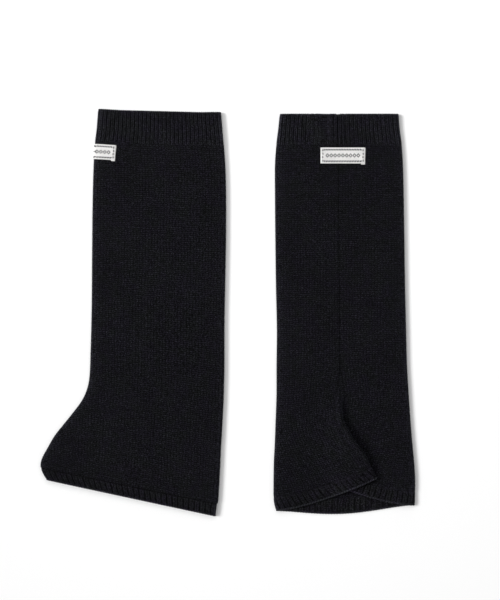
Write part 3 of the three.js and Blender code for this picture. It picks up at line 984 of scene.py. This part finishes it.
@dataclass
class Label:
    """A woven label: a thin tape, its folded end under it, and the thread that tacks both ends down."""

    name: str
    fold_width: float = 4.2
    fold_drop: float = 1.1
    fold_out: float = 0.5
    tack: float = 2.6
    tack_pitch: float = 3.6
    tack_inset: float = 2.3
    tack_wander: float = 0.12
    tack_turn: float = 0.06
    tack_radius: float = 0.45

    def cloth_at(self, across: np.ndarray, down: np.ndarray) -> tuple[np.ndarray, np.ndarray]:
        """The cloth's outer face and outward side at places on the label. Each label has its own."""
        raise NotImplementedError

    def tape(self, part: str, across: np.ndarray, down: np.ndarray, height: float, thick: float,
             finish: "LabelFinish") -> bpy.types.Object:
        """A tape over the cloth: its top, its bottom and their edges, closed at both ends.

        Its thickness is rounded off towards the edges by the sixteenth power of the way from the middle.

        Args:
            part: What the tape is.
            across: Distances across the label, from its left end, as a grid of rows down and points across.
            down: Distances down it, likewise.
            height: How far the tape's underside lies above the cloth.
            thick: How thick the tape is.
            finish: The tape's finish.

        Returns:
            The tape.
        """
        rows, columns = across.shape
        u = np.linspace(-1, 1, columns)[None, :]
        v = np.linspace(-1, 1, rows)[:, None]
        rounded = np.sqrt(1 - 0.8 * np.maximum(np.abs(u), np.abs(v)) ** 16)
        face, outward = self.cloth_at(across, down)
        top = face + outward * (height + thick * rounded)[..., None]
        bottom = face + outward * height
        pattern = np.stack([across, down], -1)
        pattern = np.concatenate([pattern, pattern[:, ::-1], pattern[:, :1]], axis=1)
        rings = np.concatenate([top, bottom[:, ::-1]], axis=1)
        tape = grid_mesh(f"{self.name}_{part}", rings, pattern, flat_ends=True)
        finish.dress(tape)
        return ride_along(tape, "label")

    def tacking(self, finish: "PlainFinish") -> bpy.types.Object:
        """The dark thread stitches down both ends, a little uneven.

        Args:
            finish: The thread's finish.

        Returns:
            The stitches.
        """
        count = int(LABEL_HEIGHT / self.tack_pitch)
        number = np.arange(2 * count)
        inset = self.tack_inset + self.tack_wander * np.sin(number * 2.3)
        across = np.where(number < count, inset, LABEL_WIDTH - inset)
        down = LABEL_HEIGHT / 2 + self.tack_pitch * (number % count - (count - 1) / 2)
        face, outward = self.cloth_at(across[None], down[None])
        below = self.cloth_at(across[None], down[None] + 1)[0]
        along = below[0] - face[0] + self.tack_turn * np.sin(number * 1.7)[:, None]
        along /= np.linalg.norm(along, axis=-1, keepdims=True)
        lifted = face[0] + outward[0] * (LABEL_CLEAR + LABEL_THICK)
        thread = stitch_row(f"{self.name}_tacking", lifted, along, outward[0], self.tack, self.tack_radius)
        finish.dress(thread)
        return ride_along(thread, "label")

    def build(self, finish: "Finishes") -> None:
        """Builds the label's tape, its folded end and its tacking, and says what it is.

        Args:
            finish: The finishes.
        """
        points, rows = TAPE_GRID
        across, down = np.meshgrid(np.linspace(0, LABEL_WIDTH, points), np.linspace(0, LABEL_HEIGHT, rows))
        tape = self.tape("tape", across, down, LABEL_CLEAR, LABEL_THICK, finish.label)
        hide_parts(self.name)
        share, drop = np.meshgrid(*(np.linspace(0, 1, count) for count in END_GRID))
        across = LABEL_WIDTH - self.fold_width * (1 - share) + self.fold_out * (1 - 1.2 * drop)
        down = END_START + drop * (LABEL_HEIGHT - END_START + self.fold_drop)
        end = self.tape("folded_end", across, down, END_CLEAR, LABEL_CLEAR - 0.05, finish.label_back)
        pieces = [end, self.tacking(finish.thread)]
        log.info("%s: a tape with %d more pieces", self.name, len(pieces))


def stitch_row(name: str, points: np.ndarray, along: np.ndarray, outward: np.ndarray, length: float,
               radius: float) -> bpy.types.Object:
    """A row of short thread stitches in one mesh.

    Each stitch is a closed spindle: eight points round, at seven stations whose radius is the sine of the
    way along to the power 0.6, arched over the cloth. Where one is under the cloth it is pressed flat by the
    surface.

    Args:
        name: The object's name.
        points: The stitches' middles, in millimetres.
        along: The direction of each stitch.
        outward: The cloth's outward side at each stitch.
        length: Their length.
        radius: The thread's radius.

    Returns:
        The stitches.
    """
    t = np.linspace(0, 1, THREAD_STATIONS)
    angle = np.linspace(0, 2 * math.pi, THREAD_POINTS, endpoint=False)
    width = radius * np.maximum(np.sin(math.pi * t), 0.05) ** 0.6
    side = np.cross(outward, along)
    centre = (points[:, None] + along[:, None] * (length * (t - 0.5))[None, :, None]
              + outward[:, None] * (radius * THREAD_ARCH * np.sin(math.pi * t))[None, :, None])
    ring = centre[:, :, None] + width[None, :, None, None] * (
        np.cos(angle)[None, None, :, None] * outward[:, None, None]
        + np.sin(angle)[None, None, :, None] * side[:, None, None]
    )
    ring[..., 2] = np.maximum(ring[..., 2], SURFACE_CLEAR)
    stitches, stations, count = ring.shape[:3]
    base = (np.arange(stitches) * stations * count)[:, None, None]
    row = (np.arange(stations - 1) * count)[None, :, None]
    i = np.arange(count)[None, None, :]
    after = (i + 1) % count
    upper = base + row
    lower = upper + count
    walls = np.stack([upper + i, lower + i, lower + after, upper + after], -1)
    ends = np.arange(count)[None, :]
    first = base[:, 0] + ends
    last = base[:, 0] + (stations - 1) * count + ends[:, ::-1]
    faces = walls.reshape(-1, 4).tolist() + first.tolist() + last.tolist()
    return new_object(name, ring, faces)


def looked_up(values: np.ndarray, rows: np.ndarray, columns: np.ndarray, down: np.ndarray,
              across: np.ndarray) -> np.ndarray:
    """Values of an even grid read at places between its rows and columns.

    Args:
        values: The grid's values, as rows, columns and (x, y, z).
        rows: The rows' distances down, evenly spaced.
        columns: The columns' distances across, evenly spaced.
        down: The places' distances down.
        across: The places' distances across.

    Returns:
        The values at the places, on straight lines between the grid's.
    """
    row = np.clip((down - rows[0]) / (rows[1] - rows[0]), 0, len(rows) - 1.001)
    column_place = np.clip((across - columns[0]) / (columns[1] - columns[0]), 0, len(columns) - 1.001)
    r, c = row.astype(int), column_place.astype(int)
    s, t = (row - r)[..., None], (column_place - c)[..., None]
    upper = values[r, c] * (1 - t) + values[r, c + 1] * t
    lower = values[r + 1, c] * (1 - t) + values[r + 1, c + 1] * t
    return upper * (1 - s) + lower * s


def resampled(values: np.ndarray, reach: np.ndarray, wanted: np.ndarray) -> np.ndarray:
    """Values on each row read at wanted distances along it.

    Args:
        values: The rows' values, as rows, points and (x, y, z).
        reach: The points' distances along their row.
        wanted: The distances to read at, the same for each row.

    Returns:
        The values, on straight lines between the row's points.
    """
    return np.stack([
        np.stack([np.interp(wanted, along, points[:, axis]) for axis in range(3)], -1)
        for along, points in zip(reach, values)
    ])


@dataclass
class LeftLabel(Label):
    """The label round the left one's seam fold: nearly half of it shows on the front."""

    name: str = "left_label"
    warmer: LeftWarmer = field(default_factory=LeftWarmer)
    past_fold: float = 3.0
    top: float = 36.9
    turn: float = 0.03

    def cloth_at(self, across: np.ndarray, down: np.ndarray) -> tuple[np.ndarray, np.ndarray]:
        """The cloth's outer face and its outward side under the label.

        The label is turned a little on the cloth: it drops by the turn's share of the distance from the
        fold.

        Args:
            across: Distances across the label from its hidden end, as rows and points.
            down: Distances down it, likewise.

        Returns:
            The face's points and their outward sides.
        """
        from_fold = across - LABEL_WIDTH / 2 - self.past_fold
        stations = np.linspace(self.top - 3, self.top + LABEL_HEIGHT + 4, CLOTH_ROWS)
        lay = self.warmer.lay(stations, CLOTH_POINT)
        quarter = lay.middle.shape[1] // 4
        face = np.roll(lay.middle + lay.outward * HALF_WALL, quarter, axis=1)
        outward = np.roll(lay.outward, quarter, axis=1)
        reach = ring_reach(np.roll(lay.middle, quarter, axis=1), quarter - SMOOTH_ARC)
        wanted = np.linspace(-LABEL_WIDTH, LABEL_WIDTH, 240)
        at_row = self.top + down + self.turn * np.maximum(from_fold, 0)
        return tuple(
            looked_up(resampled(values, reach, wanted), stations, wanted, at_row, -from_fold)
            for values in (face, outward)
        )


@dataclass
class RightLabel(Label):
    """The label across the right one's front seam."""

    name: str = "right_label"
    warmer: RightWarmer = field(default_factory=RightWarmer)
    middle_x: float = 119.1
    top: float = 35.4

    def cloth_at(self, across: np.ndarray, down: np.ndarray) -> tuple[np.ndarray, np.ndarray]:
        """The cloth's outer face and its outward side under the label, which lies flat across the seam.

        Args:
            across: Distances across the label from its left end, as rows and points.
            down: Distances down it, likewise.

        Returns:
            The face's points and their outward sides.
        """
        stations = np.linspace(self.top - 3, self.top + LABEL_HEIGHT + 4, CLOTH_ROWS)
        lay = self.warmer.lay(stations, CLOTH_POINT)
        front = lay.middle[:, lay.middle.shape[1] // 2:][:, ::-1]
        wanted = np.linspace(self.middle_x - LABEL_WIDTH, self.middle_x + LABEL_WIDTH, 120)
        face = resampled(front, front[..., 0], wanted)
        face[..., 1] = (RIGHT_TOP - stations)[:, None]
        face[..., 2] += HALF_WALL
        x = self.middle_x + across - LABEL_WIDTH / 2
        points = looked_up(face, stations, wanted, self.top + down, x)
        up = np.zeros_like(points)
        up[..., 2] = 1
        return points, up


# The finishes

class Wiring:
    """A short way to place and join a tree's nodes. A value is a plain one or another node's socket."""

    def __init__(self, tree: bpy.types.NodeTree) -> None:
        """Keeps the tree that the nodes go into."""
        self.tree = tree

    def node(self, kind: str, **settings: object) -> bpy.types.Node:
        """A new node.

        Args:
            kind: The node's type.
            settings: Its properties.

        Returns:
            The node.
        """
        made = self.tree.nodes.new(kind)
        for name, value in settings.items():
            setattr(made, name, value)
        return made

    def put(self, value: object, socket: bpy.types.NodeSocket) -> None:
        """Joins a socket to another one, or sets a plain value on it.

        Args:
            value: A node's output, or a plain value.
            socket: The socket that takes it.
        """
        if isinstance(value, bpy.types.NodeSocket):
            self.tree.links.new(value, socket)
        else:
            socket.default_value = value

    def fed(self, kind: str, values: Sequence[object], **settings: object) -> bpy.types.NodeSocket:
        """A new node with its inputs.

        Args:
            kind: The node's type.
            values: Its inputs in order.
            settings: Its properties.

        Returns:
            Its first output.
        """
        made = self.node(kind, **settings)
        for value, socket in zip(values, made.inputs):
            self.put(value, socket)
        return made.outputs[0]

    def math(self, operation: str, *values: object) -> bpy.types.NodeSocket:
        """One step of arithmetic."""
        return self.fed("ShaderNodeMath", values, operation=operation)

    def product(self, *values: object) -> object:
        """Values multiplied by each other.

        Args:
            values: The values in order.

        Returns:
            The product.
        """
        total = values[0]
        for value in values[1:]:
            total = self.math("MULTIPLY", total, value)
        return total

    def apart(self, first: object, second: object) -> bpy.types.NodeSocket:
        """How far apart two values are."""
        return self.math("ABSOLUTE", self.math("SUBTRACT", first, second))

    def held(self, value: object, low: object, high: object, to_low: object = 0.0,
             to_high: object = 1.0) -> bpy.types.NodeSocket:
        """A value taken smoothly from one range to another and held there."""
        values = (value, low, high, to_low, to_high)
        return self.fed("ShaderNodeMapRange", values, interpolation_type="SMOOTHSTEP")

    def vector(self, *parts: object) -> bpy.types.NodeSocket:
        """A vector of its first coordinates."""
        return self.fed("ShaderNodeCombineXYZ", parts)

    def parts(self, vector: object) -> tuple[bpy.types.NodeSocket, bpy.types.NodeSocket]:
        """A vector's first two coordinates."""
        first = self.fed("ShaderNodeSeparateXYZ", (vector,))
        return first, first.node.outputs[1]

    def noise(self, place: object, scale: float, detail: float, output: int = 0) -> bpy.types.NodeSocket:
        """Soft noise.

        Args:
            place: The coordinates.
            scale: How fine it is.
            detail: How many finer layers it has.
            output: 0 for its value, 1 for its colour.

        Returns:
            The noise.
        """
        made = self.node("ShaderNodeTexNoise")
        for name, value in (("Vector", place), ("Scale", scale), ("Detail", detail)):
            self.put(value, made.inputs[name])
        return made.outputs[output]

    def blend(self, share: object, first: object, second: object) -> bpy.types.NodeSocket:
        """A colour between two.

        Args:
            share: The second colour's share.
            first: A socket, or three channels.
            second: The same.

        Returns:
            The colour.
        """
        made = self.node("ShaderNodeMix", data_type="RGBA")
        self.put(share, made.inputs["Factor"])
        for colour, socket in ((first, made.inputs[6]), (second, made.inputs[7])):
            self.put((*colour, 1) if isinstance(colour, tuple) else colour, socket)
        return made.outputs[2]

    def object_place(self) -> bpy.types.NodeSocket:
        """The place on the object."""
        return self.node("ShaderNodeTexCoord").outputs["Object"]

    def pattern_place(self) -> bpy.types.NodeSocket:
        """The pattern's coordinates."""
        return self.node("ShaderNodeUVMap", uv_map="knit").outputs[0]

    def bump(self, height: object, distance: float, under: Optional[object] = None) -> bpy.types.NodeSocket:
        """Normals raised by a height.

        Args:
            height: The height, as a share.
            distance: What it is a share of, in millimetres.
            under: The normals under it, where there are any.

        Returns:
            The normals.
        """
        made = self.node("ShaderNodeBump")
        self.put(distance * MM, made.inputs["Distance"])
        self.put(height, made.inputs["Height"])
        if under is not None:
            self.put(under, made.inputs["Normal"])
        return made.outputs[0]

    def surface(self, settings: dict[str, object]) -> None:
        """The shader, joined to the material's output.

        Args:
            settings: Its inputs by name.
        """
        shader = self.node("ShaderNodeBsdfPrincipled")
        for name, value in settings.items():
            self.put(value, shader.inputs[name])
        self.put(shader.outputs[0], self.node("ShaderNodeOutputMaterial").inputs[0])


FLOAT = "NodeSocketFloat"
VECTOR = "NodeSocketVector"


def new_group(name: str, inputs: dict[str, str], outputs: Sequence[str]) -> tuple[Wiring, object, object]:
    """A shader node group with named sockets.

    Args:
        name: The group's name.
        inputs: The inputs' names and socket types.
        outputs: The outputs' names. Each is a value.

    Returns:
        The group's wiring, the sockets that it is given, and those that it puts out.
    """
    group = bpy.data.node_groups.new(name, "ShaderNodeTree")
    for socket, kind in inputs.items():
        group.interface.new_socket(name=socket, in_out="INPUT", socket_type=kind)
    for socket in outputs:
        group.interface.new_socket(name=socket, in_out="OUTPUT", socket_type=FLOAT)
    wiring = Wiring(group)
    return wiring, wiring.node("NodeGroupInput").outputs, wiring.node("NodeGroupOutput").inputs


def stitches_group() -> None:
    """Plain knitting: two slanting legs to each stitch, as a height, and a shade for each leg.

    Across a stitch, a is the distance from its column's middle. A leg's bow across is 1 less the square of
    a's distance from 0.22, filled in at the middle, and its bow along is the sine of the way along it, which
    is the row's coordinate less 0.5 of a, so that the two legs make a V. The height is the root of the two
    together.
    """
    w, given, out = new_group("knit stitches", {"Place": VECTOR, "Wander": FLOAT}, ("Height", "Shade"))
    drift = w.noise(given["Place"], 0.3, 2.0, output=1)
    reach = w.vector(given["Wander"], given["Wander"])
    moved = w.fed("ShaderNodeVectorMath", (drift, reach, given["Place"]), operation="MULTIPLY_ADD")
    u, v = w.parts(moved)
    a = w.apart(w.math("FRACT", u), 0.5)
    slanted = w.math("SUBTRACT", v, w.product(a, 0.5))
    off = w.math("MAXIMUM", w.math("DIVIDE", w.math("SUBTRACT", a, 0.22), 0.28), -0.5)
    bow_across = w.math("MAXIMUM", w.math("SUBTRACT", 1.0, w.product(off, off)), 0.0)
    bow_along = w.math("SINE", w.product(w.math("FRACT", slanted), math.pi))
    leg = w.vector(w.math("FLOOR", w.product(u, 2.0)), w.math("FLOOR", slanted))
    w.put(w.math("SQRT", w.product(bow_across, bow_along)), out["Height"])
    w.put(w.fed("ShaderNodeTexWhiteNoise", (leg,), noise_dimensions="3D"), out["Shade"])


def fuzz_group() -> None:
    """The yarn's fuzz: fine noise as a height, grain, specks for the finish's painted glints, and broad
    random patches of tone and hue.
    """
    w, given, out = new_group("yarn fuzz", {"Place": VECTOR}, ("Height", "Grain", "Speck", "Patch", "Hue"))
    place = given["Place"]
    aside = w.fed("ShaderNodeVectorMath", (place, (3.0, 1.0, 2.0)), operation="ADD")
    w.put(w.noise(place, 900.0, 3.0), out["Height"])
    w.put(w.held(w.noise(place, 1050.0, 0.0), 0.28, 0.72), out["Grain"])
    w.put(w.held(w.noise(place, 820.0, 1.0), 0.52, 0.72), out["Speck"])
    w.put(w.noise(place, 21.0, 1.0), out["Patch"])
    w.put(w.held(w.noise(aside, 85.0, 3.0), 0.35, 0.65), out["Hue"])


@dataclass(frozen=True)
class Finish:
    """A finish that pieces are dressed in."""

    name: str

    def shade(self, w: Wiring) -> None:
        """Places the nodes of the finish's material. Each kind of finish has its own."""
        raise NotImplementedError

    def dress(self, obj: bpy.types.Object) -> None:
        """Puts the finish on a piece, as a material that is made once.

        Args:
            obj: The piece.
        """
        made = bpy.data.materials.get(self.name)
        if made is None:
            made = bpy.data.materials.new(self.name)
            made.use_nodes = True
            made.node_tree.nodes.clear()
            self.shade(Wiring(made.node_tree))
        obj.data.materials.append(made)


@dataclass(frozen=True)
class PlainFinish(Finish):
    """One plain colour."""

    colour: tuple[float, float, float]
    roughness: float
    specular: float = 0.5

    def shade(self, w: Wiring) -> None:
        """The plain colour."""
        colour = (*self.colour, 1)
        w.surface({"Base Color": colour, "Roughness": self.roughness, "Specular IOR Level": self.specular})


@dataclass(frozen=True)
class KnitFinish(Finish):
    """Black knitted yarn: near black, a little blue, with painted shade in the gaps between the stitches and
    a soft fuzz.

    stitch is how much painted shade darkens the low places between the stitches' legs. Where the knitting is
    ribbed, ribs gives how dark the painted shade is in the groove beside a rib and in the one along its
    middle, rib_lines where each of the two ends and starts, rib_start how many courses they take to begin,
    and columns how many stitches wide a rib is. seam is how dark the painted shade along the front seam's
    line is, and furrow how dark the painted shade is in the line where the ribs start. The fold sheen share
    is how much paler the yarn is painted along the side folds, a painted sheen where light catches their
    edges.
    """

    lit: tuple[float, float, float]
    # The painted shade in the gaps between the stitches
    gap_shade: tuple[float, float, float] = (0.0001, 0.0001, 0.0002)
    stitch_height: float = 0.4
    fuzz_height: float = 0.2
    # How much painted shade darkens the low places between the stitches' legs
    stitch: float = 0.8
    chance: float = 1.0
    ribs: Optional[tuple[float, float]] = None
    rib_lines: tuple[float, float, float, float] = (0.04, 0.2, 0.34, 0.46)
    rib_start: float = 0.0
    columns: float = 2.0
    seam: float = 0.0
    seam_width: float = 0.3
    furrow: float = 0.0
    grain: float = 2.1
    # How much painted sheen lightens the yarn along the side folds
    painted_sheen: float = 1.0
    wander: float = 0.9
    # How strong the painted glints of the flecks are
    flecks: float = 0.5

    def for_piece(self, lay: Lay) -> "KnitFinish":
        """The finish with its painted seam shade, or, where the piece has no seam, without it and with a
        darker painted furrow shade.

        Args:
            lay: The piece's stretch of cloth.

        Returns:
            The finish.
        """
        if lay.seam_distance is not None:
            return self
        return replace(self, name=f"{self.name} without seam", seam=0.0, furrow=self.furrow * 2.5)

    def painted_groove_shade(self, w: Wiring, place: object) -> object:
        """How much of the yarn's colour the painted shade of the grooves, the seam and the furrow leaves,
        some grooves painted darker than others.

        Args:
            w: The wiring.
            place: The stitches' coordinates: across, from the seam and whole at each groove, and down.

        Returns:
            The mask, 1 away from all of them.
        """
        across, down = w.parts(place)
        # Painted shade along the front seam's line
        seam = w.held(w.math("ABSOLUTE", across), 0.0, self.seam_width, self.seam, 0.0)
        mask = w.math("SUBTRACT", 1.0, seam)
        # Painted shade in the furrow where the ribs start
        if self.furrow:
            mask = w.product(mask, w.held(w.apart(down, 0.35), 0.1, 0.9, 1 - self.furrow, 1.0))
        # Painted shade in each rib's grooves, some grooves painted a little darker than others at random
        if self.ribs:
            number = w.math("ROUND", across)
            beside = w.apart(across, number)
            chance = w.noise(w.vector(number, w.product(down, 0.12)), 1.37, 1.0)
            strength = w.held(chance, 0.3, 0.7, 0.85 * self.ribs[0], self.ribs[0])
            groove = w.product(w.held(beside, *self.rib_lines[:2], 1.0, 0.0), strength)
            lines = w.math("ADD", groove, w.held(beside, *self.rib_lines[2:], 0.0, self.ribs[1]))
            if self.rib_start:
                lines = w.product(lines, w.held(down, 0.0, self.rib_start))
            mask = w.product(mask, w.math("SUBTRACT", 1.0, lines))
        return mask

    def shade(self, w: Wiring) -> None:
        """The painted gap shade blends into the yarn's colour by random shade, grain and patch and by the
        painted shade of the stitches and lines, under painted glints and sheen.

        Args:
            w: The material's wiring.
        """
        place = w.pattern_place()
        stitches = w.node("ShaderNodeGroup", node_tree=bpy.data.node_groups["knit stitches"])
        columns = w.fed("ShaderNodeVectorMath", (place, (self.columns, 1.0, 1.0)), operation="MULTIPLY")
        w.put(columns, stitches.inputs["Place"])
        w.put(self.wander, stitches.inputs["Wander"])
        fuzz = w.node("ShaderNodeGroup", node_tree=bpy.data.node_groups["yarn fuzz"])
        w.put(w.object_place(), fuzz.inputs["Place"])
        knit, yarn = stitches.outputs, fuzz.outputs
        # The yarn's share against the painted gap shade: random shade, grain and patch, times the painted
        # shade in the stitches' hollows and in the grooves, seam and furrow
        whole = w.product(
            w.math("MULTIPLY_ADD", knit["Shade"], self.chance, 1 - self.chance / 2),
            w.math("MULTIPLY_ADD", yarn["Grain"], self.grain, 1 - self.grain / 2),
            w.held(yarn["Patch"], 0.3, 0.7, 0.84, 1.16),
            w.held(knit["Height"], 0.1, 0.95, 1 - self.stitch, 1.0),
            self.painted_groove_shade(w, place),
        )
        # Two random hues of the yarn, and the brighter colour of the painted glints and painted sheen
        bluer, greyer, painted_highlight = (
            tuple(channel * share for channel, share in zip(self.lit, shares))
            for shares in ((1.05, 0.92, 1.17), (0.96, 1.06, 0.88), (2.6, 2.6, 2.6))
        )
        colour = w.blend(whole, self.gap_shade, w.blend(yarn["Hue"], bluer, greyer))
        # Painted glints: random flecks painted brighter where the yarn is not in painted shade, as light
        # catching stray fibres
        colour = w.blend(w.product(yarn["Speck"], whole, self.flecks), colour, painted_highlight)
        # Painted sheen: the yarn painted paler along the side folds, where light catches their edges
        painted_sheen = w.node("ShaderNodeAttribute", attribute_name="painted_sheen").outputs["Fac"]
        colour = w.blend(w.product(painted_sheen, self.painted_sheen, w.math("MINIMUM", whole, 1.0)), colour, painted_highlight)
        w.surface({
            "Base Color": colour,
            "Normal": w.bump(yarn["Height"], self.fuzz_height, w.bump(knit["Height"], self.stitch_height)),
            "Roughness": 0.55,
            "Specular IOR Level": 0.05,
            "Sheen Weight": 0.08,
            "Sheen Roughness": 0.3,
            "Sheen Tint": (0.75, 0.8, 1.0, 1),
        })


@dataclass(frozen=True)
class LabelFinish(Finish):
    """Off-white woven tape, plain or with lines of slanting dashes and a chain of lozenges."""

    marked: bool = True
    ground: tuple[float, float, float] = (0.80, 0.79, 0.78)
    thread: tuple[float, float, float] = (0.02, 0.02, 0.025)
    inset: float = 2.3
    line: float = 1.7
    dash: float = 2.7
    to_tacking: float = 3.4
    lozenge: float = 4.0
    lozenges_each_way: float = 4.5

    def frame_line(self, w: Wiring, across: object, along: object) -> object:
        """A line of slanting dashes near both long edges, between the tacked ends.

        Args:
            w: The wiring.
            across: The distance down the tape.
            along: The distance along it.

        Returns:
            The mask, 1 on the dashes.
        """
        from_edge = w.math("SUBTRACT", LABEL_HEIGHT / 2, w.apart(across, LABEL_HEIGHT / 2))
        way = w.math("FRACT", w.math("DIVIDE", along, self.dash))
        slant = w.product(w.math("SUBTRACT", way, 0.35), 0.9)
        off = w.apart(w.math("SUBTRACT", from_edge, self.inset), slant)
        near = w.held(off, self.line * 0.3, self.line * 0.6, 1.0, 0.0)
        to_end = w.math("SUBTRACT", LABEL_WIDTH / 2, w.apart(along, LABEL_WIDTH / 2))
        clear = w.math("GREATER_THAN", to_end, self.to_tacking)
        return w.product(near, clear, w.held(way, 0.72, 0.8, 1.0, 0.15))

    def lozenges(self, w: Wiring, across: object, along: object) -> object:
        """A chain of small linked lozenges along the middle: rings where the two distances' sum is the same.

        Args:
            w: The wiring.
            across: The distance along the tape.
            along: The distance down it.

        Returns:
            The mask, 1 on the rings.
        """
        from_middle = w.math("SUBTRACT", across, LABEL_WIDTH / 2)
        shifted = w.math("ADD", w.math("DIVIDE", from_middle, self.lozenge), 0.5)
        dx = w.apart(w.math("FRACT", shifted), 0.5)
        dy = w.math("DIVIDE", w.apart(along, LABEL_HEIGHT / 2), self.lozenge * 1.15)
        ring = w.held(w.apart(w.math("ADD", dx, dy), 0.38), 0.09, 0.18, 1.0, 0.0)
        reach = self.lozenges_each_way * self.lozenge
        return w.product(ring, w.math("LESS_THAN", w.math("ABSOLUTE", from_middle), reach))

    def shade(self, w: Wiring) -> None:
        """The weave, a little soiled, with the marks over it.

        Args:
            w: The material's wiring.
        """
        u, v = w.parts(w.pattern_place())
        marks = w.math("MAXIMUM", self.frame_line(w, v, u), self.lozenges(w, u, v)) if self.marked else 0.0
        warp, weft = (
            w.math("SINE", w.product(way, 2 * math.pi / pitch)) for way, pitch in ((u, 0.55), (v, 0.42))
        )
        weave = w.product(warp, weft)
        soil = w.held(w.noise(w.object_place(), 160.0, 3.0), 0.25, 0.75, 0.86, 1.0)
        ground = w.blend(w.math("MULTIPLY_ADD", weave, 0.05, soil), (0.0, 0.0, 0.0), self.ground)
        w.surface({
            "Base Color": w.blend(w.product(marks, 0.97), ground, self.thread),
            "Normal": w.bump(weave, 0.06),
            "Roughness": 0.65,
            "Specular IOR Level": 0.3,
        })


@dataclass
class Finishes:
    """The finishes of the pair, and the node groups that they share."""

    knit: KnitFinish = KnitFinish(
        "plain knit", (0.0072, 0.0071, 0.0096), stitch_height=0.7, fuzz_height=0.25, stitch=1.0, columns=1.0,
        seam=0.9, flecks=0.9,
    )
    rib: KnitFinish = KnitFinish(
        "ribbed cuff", (0.0121, 0.0119, 0.0161), chance=1.1, ribs=(0.97, 0.65), seam=0.7, seam_width=0.22,
        flecks=0.75,
    )
    hem: KnitFinish = KnitFinish(
        "ribbed hem", (0.0095, 0.0093, 0.0124), stitch=0.7, ribs=(0.98, 0.55),
        rib_lines=(0.05, 0.22, 0.37, 0.48), rib_start=2.0, seam=0.6, seam_width=0.15, furrow=0.32,
    )
    inside: KnitFinish = KnitFinish(
        "inside", (0.0120, 0.0119, 0.0148), chance=1.2, ribs=(0.98, 0.7), rib_lines=(0.06, 0.28, 0.34, 0.46),
        flecks=0.9,
    )
    cord: KnitFinish = KnitFinish(
        "bound edge", (0.0190, 0.0187, 0.0240), (0.0006, 0.0006, 0.0008), 0.12, 0.15, stitch=0.3, chance=0.4,
        ribs=(0.9, 0.0), columns=1.0, grain=0.6,
    )
    label: LabelFinish = LabelFinish("woven label")
    label_back: LabelFinish = LabelFinish("plain woven tape", marked=False)
    thread: PlainFinish = PlainFinish("tacking thread", (0.02, 0.02, 0.025), 0.7)

    def __post_init__(self) -> None:
        """Makes the shared node groups."""
        stitches_group()
        fuzz_group()


# The studio

@dataclass
class Studio:
    """A white floor, soft light from the left and a camera straight above, at the photograph's framing."""

    centre: tuple[float, float] = (22.78, 13.05)
    frame_height: float = 625.0
    lens: float = 85.0
    sensor: float = 36.0
    floor_size: float = 6000.0
    sky: float = 0.432
    sun: float = 2.7
    sun_angle: float = 22.0
    sun_height: float = 37.5
    sun_from: float = 172.0
    box_power: float = 1.35
    box_size: float = 600.0
    box_place: tuple[float, float, float] = (-60.0, 260.0, 600.0)

    def floor(self) -> None:
        """A plain white sheet just under the pair."""
        half = self.floor_size / 2
        signs = ((-1, -1), (1, -1), (1, 1), (-1, 1))
        corners = np.array([(x * half, y * half, FLOOR_Z) for x, y in signs])
        floor = new_object("floor", corners, [(0, 1, 2, 3)])
        PlainFinish("white floor", (0.92, 0.92, 0.92), 0.9, 0.0).dress(floor)
        floor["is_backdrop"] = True

    def light(self) -> None:
        """Even white light all round, and a soft broad light from the left."""
        world = bpy.data.worlds.new("studio")
        world.use_nodes = True
        background = world.node_tree.nodes["Background"]
        background.inputs["Color"].default_value = (1, 1, 1, 1)
        background.inputs["Strength"].default_value = self.sky
        bpy.context.scene.world = world
        lamp = bpy.data.lights.new("broad light", "SUN")
        lamp.energy = self.sun
        lamp.angle = math.radians(self.sun_angle)
        sun = in_scene("broad light", lamp)
        height, heading = math.radians(self.sun_height), math.radians(self.sun_from)
        level = math.cos(height)
        towards = Vector((math.cos(heading) * level, math.sin(heading) * level, math.sin(height)))
        sun.rotation_euler = towards.to_track_quat("Z", "Y").to_euler()
        softbox = bpy.data.lights.new("softbox", "AREA")
        softbox.energy = self.box_power
        softbox.size = self.box_size * MM
        box = in_scene("softbox", softbox)
        box.location = Vector(self.box_place) * MM
        box.rotation_euler = box.location.to_track_quat("Z", "Y").to_euler()
        box.visible_camera = False
        bpy.context.scene.view_settings.view_transform = "Standard"

    def camera(self) -> None:
        """A camera straight above, as high as makes the frame's long side the height that is wanted."""
        data = bpy.data.cameras.new("camera")
        data.lens = self.lens
        data.sensor_width = self.sensor
        camera = in_scene("camera", data)
        distance = self.frame_height * self.lens / self.sensor
        camera.location = (self.centre[0] * MM, self.centre[1] * MM, distance * MM)
        bpy.context.scene.camera = camera

    def build(self) -> None:
        """Sets up the floor, the light and the camera."""
        self.floor()
        self.light()
        self.camera()


def main() -> dict[str, list[list[float]]]:
    """Builds the pair over the frame and the studio round it.

    Returns:
        The object's box before and after, as plain lists.
    """
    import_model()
    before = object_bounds()
    finish = Finishes()
    left, right = LeftWarmer(), RightWarmer()
    for part in (left, right, LeftLabel(warmer=left), RightLabel(warmer=right)):
        part.build(finish)
    Studio().build()
    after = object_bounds()
    return {"before": [list(corner) for corner in before], "after": [list(corner) for corner in after]}


if __name__ == "__main__":
    logging.basicConfig(level=logging.INFO, format="%(name)s: %(message)s")
    boxes = main()
